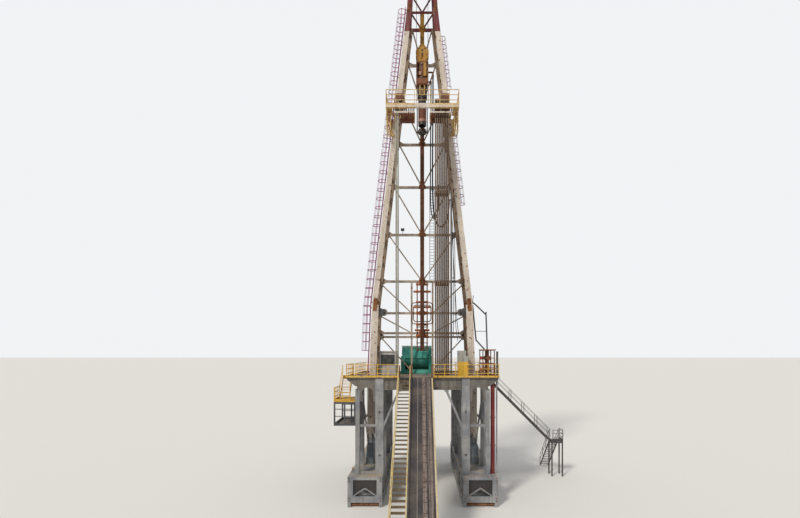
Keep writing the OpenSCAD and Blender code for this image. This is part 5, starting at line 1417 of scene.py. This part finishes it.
@dataclass
class TopDriveFittings(Fittings):
    """Motor fins, covers, cylinders and the grabber of the top drive and its pipe handler."""

    top: float = 20.5496
    bottom: float = 19.3996
    hinge: float = 18.4996

    def make(self) -> None:
        """Makes the top drive's fittings."""
        self.motor()
        self.covers()
        self.handler()
        self.grabber()
        self.elevator()

    def piece(self, shape: Shape, name: str, finish: Finish, bevel_mm: float = 0.0) -> None:
        """Makes one piece that rides with the top drive."""
        self.shop.piece(shape, name, finish, Slot.DRIVE, Body.TRAVELLING, bevel_mm)

    def fin(self, shape: Shape, at: Pair, low: float, high: float, section: list[Pair]) -> None:
        """Adds an upright fin that stands square to the quill's axis."""
        x, y = at
        shape.sweep([(x, y, low), (x, y, high)], section, side=(-y, x, 0))

    def motor(self) -> None:
        """Cooling fins round the motor, but not where its frame stands, and its two bolted end rings."""
        shape, radius = Shape(), 0.207
        low = self.bottom + 0.345
        for x, y in circle(radius, 36):
            if abs(x) < 0.93 * radius:
                self.fin(shape, (x, y), low + 0.1, low + 0.62, rectangle(0.018, 0.008))
        for z in (low, low + 0.64):
            shape.band((0, 0, z), UP, (0.2, 0.222), 0.056, 0.006, 48)
        shape.bolt_circle((0, 0, low + 0.05), UP, 0.211, 18, 0.018)
        self.piece(shape, "drive_motor_fins", Finish.DARK_STEEL)

    def covers(self) -> None:
        """Bolted gearbox cover, guard brackets, junction box with its conduit, air louvre and back plate."""
        covers, boxes, tall, back = Shape(), Shape(), Shape(), Shape()
        y, z0 = -0.22, self.bottom
        covers.block((-0.22, y - 0.014, z0 + 0.04), (0.22, y, z0 + 0.29))
        covers.bolts([(x, y - 0.014, z) for x in even(-0.2, 0.2, 5) for z in (z0 + 0.06, z0 + 0.27)],
                     FRONT, 0.024)
        for x, z in product((-0.27, 0.27), (z0 + 0.42, z0 + 0.72, z0 + 1.0)):
            covers.block((x - 0.027, -0.202, z), (x + 0.027, -0.19, z + 0.08))
            covers.bolts([(x, -0.202, z + 0.04)], FRONT, 0.03)
        boxes.block((-0.17, -0.258, z0 + 0.44), (-0.04, -0.226, z0 + 0.62))
        tall.block((0.055, -0.256, z0 + 0.4), (0.2, -0.226, z0 + 1.04))
        for z in even(z0 + 0.45, z0 + 0.978, 9):
            tall.block((0.07, -0.262, z), (0.185, -0.256, z + 0.03))
        back.block((-0.2425, 0.2025, z0 + 0.34), (0.2425, 0.2145, self.top - 0.065))
        for x, z in product((-0.262, 0.262), (z0 + 0.4, z0 + 0.7, self.top - 0.15)):
            back.block((x - 0.03, 0.1905, z), (x + 0.03, 0.2145, z + 0.06))
        boxes.tube([(-0.1, -0.24, z0 + 0.66), (-0.1, -0.24, z0 + 0.95), (-0.05, -0.2, z0 + 1.05)], 0.011, 10)
        self.piece(covers, "drive_gearbox_covers", Finish.DRIVE_PAINT, 3)
        self.piece(boxes, "drive_junction_boxes", Finish.PINK_PLATE, 4)
        self.piece(tall, "drive_air_louvre", Finish.ORANGE_PAINT, 3)
        self.piece(back, "drive_back_plate", Finish.BROWN_PAINT)

    def handler(self) -> None:
        """Rings and cylinders of the pipe handler."""
        shape, cylinders = Shape(), Shape()
        z, high, y = self.hinge, self.bottom, -0.168
        for low in (z - 0.09, z + 0.1, z + 0.33):
            shape.band((0, 0, low), UP, (0.19, 0.206), 0.045, 0.005, 48)
        for s in SIDES:
            x = s * 0.11
            cylinders.tube([(x, y, z + 0.42), (x, y, high - 0.02)], 0.028, 16)
            cylinders.flat([(s * 0.045, -0.08, z + 0.45), (s * 0.02, -0.08, high - 0.06)], 0.035, 0.03,
                           (1, 0, 0))
            shape.tube([(x, y, z + 0.385), (x, y, z + 0.42)], 0.014, 12)
            shape.disc((x, y, z + 0.42), (0, 0, -1), 0.034, 0.02, 16)
        shape.bolt_circle((0, 0, z + 0.375), UP, 0.15, 8, 0.02)
        self.piece(shape, "pipe_handler_rings", Finish.DARK_STEEL)
        self.piece(cylinders, "pipe_handler_cylinders", Finish.TAN_PAINT)

    def ring(self, radius: float, wall: float, low: float, high: float) -> Shape:
        """Makes an open ring round the quill.

        Args:
            radius: radius of the middle of its wall.
            wall: thickness of its wall.
            low: height of its lower edge.
            high: height of its upper edge.

        Returns:
            The ring's shape.
        """
        shape = Shape()
        path = [(x, y, (low + high) / 2) for x, y in circle(radius, 40)]
        shape.sweep(path, rectangle(wall, high - low), side=UP, closed=True)
        return shape

    def grabber(self) -> None:
        """Torque sleeve below the pipe handler, with the backup jaws and their band."""
        top = self.hinge - 0.1205
        sleeve = self.ring(0.175, 0.02, top - 0.62, top)
        for at in circle(0.19, 12, 0.5):
            self.fin(sleeve, at, top - 0.6, top - 0.02, rectangle(0.016, 0.012))
        jaws = self.ring(0.165, 0.06, top - 0.88, top - 0.73)
        jaws.bolt_circle((0, 0, top - 0.88), (0, 0, -1), 0.165, 10, 0.024)
        self.piece(sleeve, "torque_sleeve", Finish.BROWN_PAINT)
        self.piece(self.ring(0.187, 0.03, top - 0.73, top - 0.6), "grabber_band", Finish.PINK_PLATE, 4)
        self.piece(jaws, "backup_jaws", Finish.DARK_STEEL, 3)

    def elevator(self) -> None:
        """Hinge pins, latch and grip bands of the elevator, and collars on its links."""
        shape = Shape()
        z = self.hinge - 1.37
        for s in SIDES:
            shape.lathe((s * 0.13, -0.128, z - 0.012), UP, [(0, 0.024), (0.174, 0.024)], 16)
            shape.disc((s * 0.13, -0.128, z + 0.162), UP, 0.03, 0.014, 12)
            for level in (self.hinge - 0.2, self.hinge - 1.15):
                shape.band((s * 0.245, 0, level), UP, (0.028, 0.034), 0.036, 0.006, 20)
        for level in (z + 0.031, z + 0.116):
            shape.flat([(x, y, level) for x, y in arc(0.203, -55, 235, 30)], 0.03, 0.008, UP)
        self.shop.piece(shape, "elevator_bands", Finish.DARK_STEEL, Slot.DARK, Body.LINKS)


# Substructure and floor


@dataclass
class SubstructureFittings(Fittings):
    """Collars, stiffeners, plates, lugs, dark liners that paint shade and the flow riser's bands below the
    floor.
    """

    inner_x: float = 1.825
    width: float = 0.35
    box_top: float = 1.25
    box_ends: tuple[Pair, ...] = ((-3.35, -1), (4.15, 1))
    girder: float = 4.81
    girder_ends: tuple[Pair, ...] = ((-2.9504, -1), (3.2304, 1))
    columns_at: tuple[Pair, ...] = ((-2.775, 0.35), (-1.4, 0.2), (1.3, 0.2), (3.05, 0.35))
    hole_levels: Pair = (2.065, 3.88)

    def make(self) -> None:
        """Makes the substructure's fittings."""
        self.columns()
        self.heads()
        self.boxes()
        self.liners()
        self.lugs()
        self.riser()

    def piece(self, shape: Shape, name: str, finish: Finish = Finish.GREY_PAINT,
              bevel_mm: float = 0.0) -> None:
        """Makes one piece of the substructure."""
        self.shop.piece(shape, name, finish, Slot.STRUCTURE, bevel_mm=bevel_mm)

    def columns(self) -> None:
        """Collars round the pin holes, bolts at the ends and web stiffeners."""
        collars, ribs = Shape(), Shape()
        low, high = self.box_top, self.girder
        for s, (y, depth) in product(SIDES, self.columns_at):
            x = s * self.inner_x
            for face in SIDES:
                y0 = y + face * depth / 2
                for z in self.hole_levels:
                    ring = [(x + a, y0 + face * 0.003, z + b) for a, b in circle(0.056, 24)]
                    collars.tube(ring, 0.012, 8, closed=True)
                collars.bolts([(x + a, y0, z) for a in (-0.14, 0.14)
                               for z in (low + 0.05, low + 0.15, high - 0.045)], (0, face, 0), 0.034)
            for z, side in product((low + 0.2 + (high - low - 0.26) * k / 6 for k in range(1, 6)), SIDES):
                ribs.block((x + side * 0.014, y - depth / 2 + 0.027, z - 0.007),
                           (x + side * 0.165, y + depth / 2 - 0.027, z + 0.007))
        self.piece(collars, "column_pin_collars")
        self.piece(ribs, "column_web_stiffeners")

    def heads(self) -> None:
        """Bolted plates over the girders' ends, above the inner columns."""
        shape, half = Shape(), self.width / 2
        for s, (y, face) in product(SIDES, self.girder_ends):
            x, outer = s * self.inner_x, y + face * 0.012
            shape.block((x - half, y, self.girder + 0.002), (x + half, outer, self.girder + 0.482))
            shape.bolts([(x + side * (half - 0.035), outer, self.girder + 0.05 + 0.096 * k)
                         for side in SIDES for k in range(5)], (0, face, 0), 0.03)
        self.piece(shape, "column_head_plates")

    def boxes(self) -> None:
        """Tow bars at the runners' ends, and bolts down the end plates of the base boxes."""
        bars, levels = Shape(), (0.25, 0.36, 1.08, 1.19)
        for s, (y, face) in product(SIDES, self.box_ends):
            if face < 0:
                bars.bolts([(s * x, y, z) for x in (1.74, 3.035) for z in levels], FRONT, 0.04)
            bars.bolts([(s * 3.1, y - face * 0.065, z) for z in levels], (s, 0, 0), 0.04)
            bars.tube([(s * x, y - face * 0.1, 0.1) for x in (1.7, 3.07)], 0.05, 20)
        self.piece(bars, "base_box_tow_bars", Finish.RUSTED_PAINT)

    def liners(self) -> None:
        """Dark liner above the braces on each end of the base boxes, bolted along its upper edge: painted
        shade inside the boxes.
        """
        shape, thick = Shape(), 0.0016
        x0, x1, sill, crest, top = 1.9, 2.875, 0.516, 0.784, 1.2295
        corners = ((x0, sill), ((x0 + x1) / 2, crest), (x1, sill), (x1, top), (x0, top))
        for s, (y, face) in product(SIDES, self.box_ends):
            back = y - face * 0.0645
            shape.plate([(s * x, back, z) for x, z in corners], (0, face * thick, 0))
            shape.bolts([(s * x, back + face * thick, top - 0.04) for x in even(x0 + 0.03, x1 - 0.03, 7)],
                        (0, face, 0), 0.022)
        self.piece(shape, "base_box_end_shade_liners", Finish.SOOT_PAINT)

    def lugs(self) -> None:
        """Lifting lugs along both edges of the base boxes."""
        shape, z = Shape(), self.box_top
        for s, y, x in product(SIDES, (-2.2, -0.6, 1.4, 3.2), (1.69, 3.085)):
            outline = ((-0.09, 0), (0.09, 0), (0.05, 0.12), (-0.05, 0.12))
            shape.plate([(s * x - 0.01, y + a, z + b) for a, b in outline], (0.02, 0, 0))
        self.piece(shape, "base_box_lifting_lugs", Finish.YELLOW_PAINT, bevel_mm=3)

    def riser(self) -> None:
        """Flange bolts and bands of the red flow pipe, with the thin drain beside it."""
        x0, x1, y0, y1, low, high = self.places.box("flow_riser")
        x, y = (x0 + x1) / 2, (y0 + y1) / 2
        bands, drain = Shape(), Shape()
        for z, up in ((low + 0.04, 1), (high - 0.04, -1)):
            bands.bolt_circle((x, y, z), (0, 0, up), 0.094, 10, 0.012)
        for z in (2.4, 3.6):
            bands.band((x, y, z), UP, (0.09, 0.102), 0.064, 0.004, 40)
        xd, foot = x + 0.17, self.box_top
        drain.tube([(xd, y, foot + 0.012), (xd, y, high - 0.002)], 0.034, 16)
        drain.block((x + 0.02, y - 0.06, foot + 0.0005), (xd + 0.05, y + 0.06, foot + 0.0125))
        for z in (2.42, 3.62):
            drain.block((x + 0.09, y - 0.02, z), (xd, y + 0.02, z + 0.02))
        self.shop.piece(bands, "flow_riser_bands", Finish.PIPE_RED_PAINT, Slot.MAST_RED)
        self.piece(drain, "riser_drain_pipe")


@dataclass
class FloorFittings(Fittings):
    """What stands out on the drill floor: cabin glass, machine ribs, valves, cabinet doors and posts."""

    sill: float = 0.48
    head: float = 0.95
    cabin_x: Pair = (-2.05, -1.25)
    cabin_front: float = -0.5
    drawworks_x: Pair = (-1.15, 0.6)
    drawworks_y: Pair = (0.95, 2.25)
    valve_levels: Pair = (0.32, 0.82)
    cabinet_fronts: tuple[tuple[float, ...], ...] = ((1.78, 2.0, -2.35, 0.9), (1.62, 1.98, -1.6, 1.15))
    rail_half: float = 0.017
    post_pitch: float = 0.435

    def make(self) -> None:
        """Makes the floor's fittings."""
        self.cabin()
        self.drawworks()
        self.manifold()
        self.cabinets()
        self.rail_sockets()
        self.edge_posts()
        self.table()

    def cabin(self) -> None:
        """Panes, window and door frames and the left wall's ribs of the driller's cabin."""
        f = self.places.floor
        (x0, x1), y0 = self.cabin_x, self.cabin_front
        panes, frames = Shape(), Shape()
        low, high = f + self.sill, f + self.head
        panes.block((x0 + 0.09, y0 + 0.012, low), (x1 - 0.09, y0 + 0.02, high))
        panes.block((x1 - 0.02, y0 + 0.09, low), (x1 - 0.012, y0 + 0.53, high))
        for x in even(x0 + 0.09, x1 - 0.09, 3):
            frames.block((x - 0.015, y0 - 0.012, low - 0.015), (x + 0.015, y0 + 0.012, high + 0.015))
        for z in (low, high):
            frames.block((x0 + 0.075, y0 - 0.012, z - 0.015), (x1 - 0.075, y0 + 0.012, z + 0.015))
        for y in even(y0 + 0.09, y0 + 0.53, 3):
            frames.block((x1 - 0.012, y - 0.015, low - 0.015), (x1 + 0.012, y + 0.015, high + 0.015))
        for z in (low, high):
            frames.block((x1 - 0.012, y0 + 0.075, z - 0.015), (x1 + 0.012, y0 + 0.545, z + 0.015))
        for y in (y0 + 0.572, y0 + 0.93):
            frames.block((x1 - 0.006, y - 0.014, f + 0.03), (x1 + 0.014, y + 0.014, f + 1.02))
        frames.block((x1 - 0.006, y0 + 0.572, f + 1.004), (x1 + 0.014, y0 + 0.93, f + 1.03))
        for y in even(y0 + 0.06, y0 + 0.93, 7):
            frames.block((x0 - 0.01, y, f + 0.03), (x0, y + 0.02, f + 1.07))
        self.shop.piece(panes, "cabin_panes", Finish.GLASS, Slot.CABIN)
        self.shop.piece(frames, "cabin_window_frames", Finish.DARK_PAINT, Slot.CABIN, bevel_mm=2)

    def drawworks(self) -> None:
        """Ribs and guard bolts of the drawworks, and the rope turns on its drum."""
        f = self.places.floor
        (x0, x1), (y0, y1) = self.drawworks_x, self.drawworks_y
        front, middle = y0 + 0.06, (y0 + y1) / 2
        ribs, drum = Shape(), Shape()
        for x in even(x0 + 0.1, x1 - 0.1, 8):
            ribs.block((x - 0.01, y0 + 0.048, f + 0.8), (x + 0.01, front, f + 0.9))
        for x in (x0 + 0.13, x0 + 0.4, x1 - 0.4, x1 - 0.13):
            ribs.flat([(x, middle + y, f + 0.9 + z) for y, z in arc(0.551, 8, 172, 28)], 0.04, 0.012,
                      (1, 0, 0))
        ribs.bolts([(x, front, f + z) for x in (x0 + 0.16, x1 - 0.16) for z in (0.2, 0.4, 0.6, 0.8)],
                   FRONT, 0.035)
        for x in even(x0 + 0.3, x1 - 0.3, 26):
            drum.band((x - 0.014, middle - 0.1, f + 0.5), (1, 0, 0), (0.222, 0.232), 0.028, 0.007, 32)
        self.shop.piece(ribs, "drawworks_ribs", Finish.TEAL_PAINT, Slot.MACHINE, bevel_mm=2)
        self.shop.piece(drum, "drawworks_rope_turns", Finish.ROPE_STEEL, Slot.ROPE)

    def manifold(self) -> None:
        """Valves with handwheels and flanges on the manifold, and the sun plate over it."""
        x0, x1, y0, y1, low, high = self.places.box("manifold")
        xm = (x0 + x1) / 2
        wheel = xm - 0.235
        valves, wheels, top = Shape(), Shape(), Shape()
        body = [(0, 0.075), (0.02, 0.08), (0.03, 0.06), (0.07, 0.078), (0.11, 0.06), (0.12, 0.08),
                (0.14, 0.075)]
        stem = [(0, 0.04), (0.15, 0.034), (0.151, 0.02), (0.24, 0.02)]
        for z in (low + level for level in self.valve_levels):
            for y in even(y0 + 0.17, y0 + 0.83, 4):
                valves.lathe((xm, y - 0.07, z), (0, 1, 0), body, 24)
                valves.lathe((xm, y, z), (-1, 0, 0), stem, 16)
                wheels.tube([(wheel, y + a, z + b) for a, b in circle(0.07, 20)], 0.009, 8, closed=True)
                for a, b in circle(0.066, 6)[:3]:
                    wheels.tube([(wheel, y - a, z - b), (wheel, y + a, z + b)], 0.006, 6)
            for y, face in ((y0 + 0.01, -1), (y1 - 0.01, 1)):
                valves.disc((xm, y, z), (0, face, 0), 0.095, 0.02, 28)
                valves.bolt_circle((xm, y + face * 0.02, z), (0, face, 0), 0.075, 8, 0.022)
        left, right, front = x0 - 0.05, x1 + 0.04, y0 - 0.05
        top.plate([(x, y, high + 0.0004) for x, y in
                   ((left, front), (right, front), (right, y1 + 0.03), (left, y1 + 0.03))], (0, 0, 0.014))
        top.flat([(left, front, high - 0.012), (right, front, high - 0.012)], 0.03, 0.008, UP)
        self.shop.piece(top, "manifold_sun_plate", Finish.PINK_PLATE, Slot.MANIFOLD, bevel_mm=2)
        self.shop.piece(valves, "manifold_valves", Finish.BROWN_PAINT, Slot.MANIFOLD)
        self.shop.piece(wheels, "manifold_handwheels", Finish.BRIGHT_RED_PAINT, Slot.MANIFOLD)

    def cabinets(self) -> None:
        """Door panels, hinges and handles of the two cabinets on the floor."""
        f = self.places.floor
        doors, handles = Shape(), Shape()
        for x0, x1, y, height in self.cabinet_fronts:
            hinge, pull, middle = x0 + 0.02, x1 - 0.04, f + height / 2
            doors.block((x0 + 0.015, y - 0.008, f + 0.05), (x1 - 0.015, y, f + height - 0.03))
            for z in (f + 0.15, f + height - 0.15):
                handles.tube([(hinge, y - 0.012, z - 0.035), (hinge, y - 0.012, z + 0.035)], 0.008, 8)
            handles.tube([(pull, y - 0.022, middle - 0.05), (pull, y - 0.022, middle + 0.05)], 0.007, 8)
            for z in (middle - 0.045, middle + 0.045):
                handles.tube([(pull, y - 0.006, z), (pull, y - 0.024, z)], 0.006, 8)
        self.shop.piece(doors, "cabinet_doors", Finish.CABINET_PAINT, Slot.RAIL, bevel_mm=3)
        self.shop.piece(handles, "cabinet_handles", Finish.DARK_STEEL, Slot.DARK)

    def rail_sockets(self) -> None:
        """Sockets at the feet of the floor's handrail posts, and welded caps on top of them."""
        p, shape, half = self.places, Shape(), self.rail_half
        z, edge, front = p.floor + 0.001, p.half_floor - half, p.front + half
        spots = [(x, front) for x in self.spread(-edge, -1.022) + self.spread(0.473, edge)]
        for s, back in ((-1, -1.023), (1, 1.277)):
            spots += [(s * edge, y) for y in self.spread(p.front + 0.049, back)]
        for x, y in spots:
            shape.block((x - 0.021, y - 0.021, z), (x + 0.021, y + 0.021, z + 0.09))
            shape.lathe((x, y, z + 0.556), UP, [(0, 0.017), (0.008, 0.017), (0.016, 0.009)], 10)
        self.shop.piece(shape, "rail_post_sockets", Finish.YELLOW_PAINT, Slot.RAIL, bevel_mm=2)

    def spread(self, low: float, high: float) -> list[float]:
        """Places of handrail posts at even steps from low to high."""
        return even(low, high, max(1, round((high - low) / self.post_pitch)) + 1)

    def edge_posts(self) -> None:
        """Short rusty posts at the head of the ramp and stair, and the dark corner pole."""
        p = self.places
        z = p.floor + 0.001
        posts, pole = Shape(), Shape()
        for x in (-0.47, 0.39, -0.54, -0.97):
            posts.capped_post((x, p.front + 0.05, z), 0.5, 0.024, (0.03, 0.012), 14)
            posts.block((x - 0.05, p.front + 0.01, z), (x + 0.05, p.front + 0.09, z + 0.012))
        x, y = p.half_floor - 0.075, p.front + 0.1
        pole.capped_post((x, y, z), 1.08, 0.045, (0.05, 0.02), 16)
        pole.block((x - 0.06, y - 0.06, z), (x + 0.06, y + 0.06, z + 0.02))
        self.shop.piece(posts, "ramp_head_posts", Finish.RUSTED_PAINT, Slot.RUST)
        self.shop.piece(pole, "corner_lamp_pole", Finish.DARK_PAINT, Slot.DARK)

    def table(self) -> None:
        """Bolts on the rotary table and on the floor round it."""
        shape, floor = Shape(), self.places.floor + 0.001
        shape.bolt_circle((0, 0, self.places.box("rotary_table")[-1]), UP, 0.265, 24, 0.024)
        shape.bolts([(x, y, floor) for x, y in circle(0.324, 12)], UP, 0.03)
        self.shop.piece(shape, "rotary_table_bolts", Finish.DARK_STEEL, Slot.DARK)


@dataclass
class RampAndStairs(Fittings):
    """Wear strips and joints on the ramp, and tread plates on the stair beside it."""

    slope: float = radians(35)
    riser: float = 0.121
    stair_left: float = -1.01
    stair_width: float = 0.475
    broad_lift: float = 0.0322
    narrow_lift: float = 0.0552
    joint_pitch: float = 0.32

    def make(self) -> None:
        """Makes the ramp's strips and the tread plates."""
        self.ramp()
        self.treads()

    def strip(self, shape: Shape, xs: Pair, lift: float, thick: float, runs: Pair) -> None:
        """Adds a strip that lies along the ramp.

        Args:
            shape: shape that takes the strip.
            xs: its two sides.
            lift: height above the ramp's surface.
            thick: thickness.
            runs: distances of its ends out from the floor's edge.
        """
        p, (x0, x1) = self.places, xs
        (ya, za), (yb, zb) = ((p.front - 0.0004 - run, p.floor - run * tan(self.slope) + lift)
                              for run in runs)
        shape.plate([(x0, ya, za), (x0, yb, zb), (x1, yb, zb), (x1, ya, za)], (0, 0, thick))

    def ramp(self) -> None:
        """Bright and brown strips on the skid rails, strips on the side rail and joints across the rails."""
        run = self.places.floor / tan(self.slope)
        bright, brown, pale, edges, joints = Shape(), Shape(), Shape(), Shape(), Shape()
        top, whole = self.broad_lift, (0.06, run - 0.06)
        self.strip(bright, (-0.213, -0.187), top, 0.004, whole)
        for xs, lift in (((-0.027, 0.107), top), ((0.171, 0.199), top), ((0.22, 0.3), 0.0004)):
            self.strip(brown, xs, lift, 0.004, whole)
        self.strip(edges, (0.389, 0.423), self.narrow_lift, 0.005, (0.09, run - 0.1))
        self.strip(pale, (0.367, 0.387), self.narrow_lift, 0.005, (0.09, run - 0.1))
        count = round(run / self.joint_pitch)
        for k in range(1, count):
            at = run * k / count
            self.strip(joints, (-0.03, 0.11), top + 0.004, 0.004, (at, at + 0.018))
            if k % 3 == 0:
                self.strip(joints, (-0.44, -0.22), 0.0004, 0.004, (at, at + 0.02))
        self.shop.piece(bright, "ramp_wear_strips", Finish.SKID_STEEL, Slot.SHEAVE)
        self.shop.piece(brown, "ramp_skid_strips", Finish.SKID_BROWN, Slot.RAMP)
        self.shop.piece(pale, "ramp_pale_strip", Finish.CREAM_PAINT, Slot.PALE_STAIR)
        self.shop.piece(edges, "ramp_edge_strip", Finish.PALE_YELLOW_PAINT, Slot.RAIL)
        self.shop.piece(joints, "ramp_rail_joints", Finish.DARK_STEEL, Slot.RAMP)

    def treads(self) -> None:
        """Serrated tread plates with a folded nosing on the stair."""
        p, shape = self.places, Shape()
        count = round(p.floor / self.riser)
        rise = p.floor / count
        going = rise / tan(self.slope)
        x0, x1 = self.stair_left + 0.023, self.stair_left + self.stair_width - 0.023
        for i in range(1, count):
            y, z = p.front - i * going - 0.0104, p.floor - i * rise
            back = y + going * 0.8
            shape.block((x0, y, z + 0.0004), (x1, back, z + 0.005))
            shape.block((x0, y - 0.006, z - 0.03), (x1, y - 0.0004, z + 0.005))
            for x in (x0 + (x1 - x0) * (k + 0.5) / 9 for k in range(9)):
                shape.block((x - 0.004, y + 0.006, z + 0.005), (x + 0.004, back - 0.006, z + 0.009))
        self.shop.piece(shape, "ramp_stair_treads", Finish.TREAD_STEEL, Slot.RAIL)


def dress_nodes(frame: dict) -> None:
    """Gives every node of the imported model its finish.
    """
    for finish, names in NODE_FINISH.items():
        for name in names:
            mesh = frame["nodes"][name].data
            mesh.materials.clear()
            mesh.materials.append(finish.material())
    bare = set(frame["nodes"]) - {name for names in NODE_FINISH.values() for name in names}
    if bare:
        raise ValueError(f"these nodes have no finish: {sorted(bare)}")


def main() -> None:
    """Loads the frame, sets the camera, then builds and dresses each sub-assembly."""
    logging.basicConfig(level=logging.INFO, format="%(message)s")
    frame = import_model()
    places = Places.read(frame)
    shop = Workshop(places)
    studio = Studio(places)
    studio.camera()
    Hose(shop, "mud_hose", "kelly_hose", 0.07, MUD_HOSE_ROUTE, 0.16).make()
    Hose(shop, "feed_bundle", "service_loop", 0.056, FEED_BUNDLE_ROUTE, 0.14).make()
    DrillingLines(shop).make()
    studio.ground()
    studio.light()
    dress_nodes(frame)
    MastFittings(shop).make()
    LadderCage(shop, "left_ladder_cage", 6.5, 22.5, -1, places.leg_front).make()
    LadderCage(shop, "right_ladder_lower_cage", 13.9, 17.3, 1, places.leg_rear).make()
    LadderCage(shop, "right_ladder_upper_cage", 19.75, 22.25, 1, places.leg_rear).make()
    for assembly in (GuideGear, CrownFittings, BoardFittings, BlockFittings, TopDriveFittings,
                     SubstructureFittings, FloorFittings, RampAndStairs):
        assembly(shop).make()
    LOG.info("%d pieces made", len(shop.made))


if __name__ == "__main__":
    main()
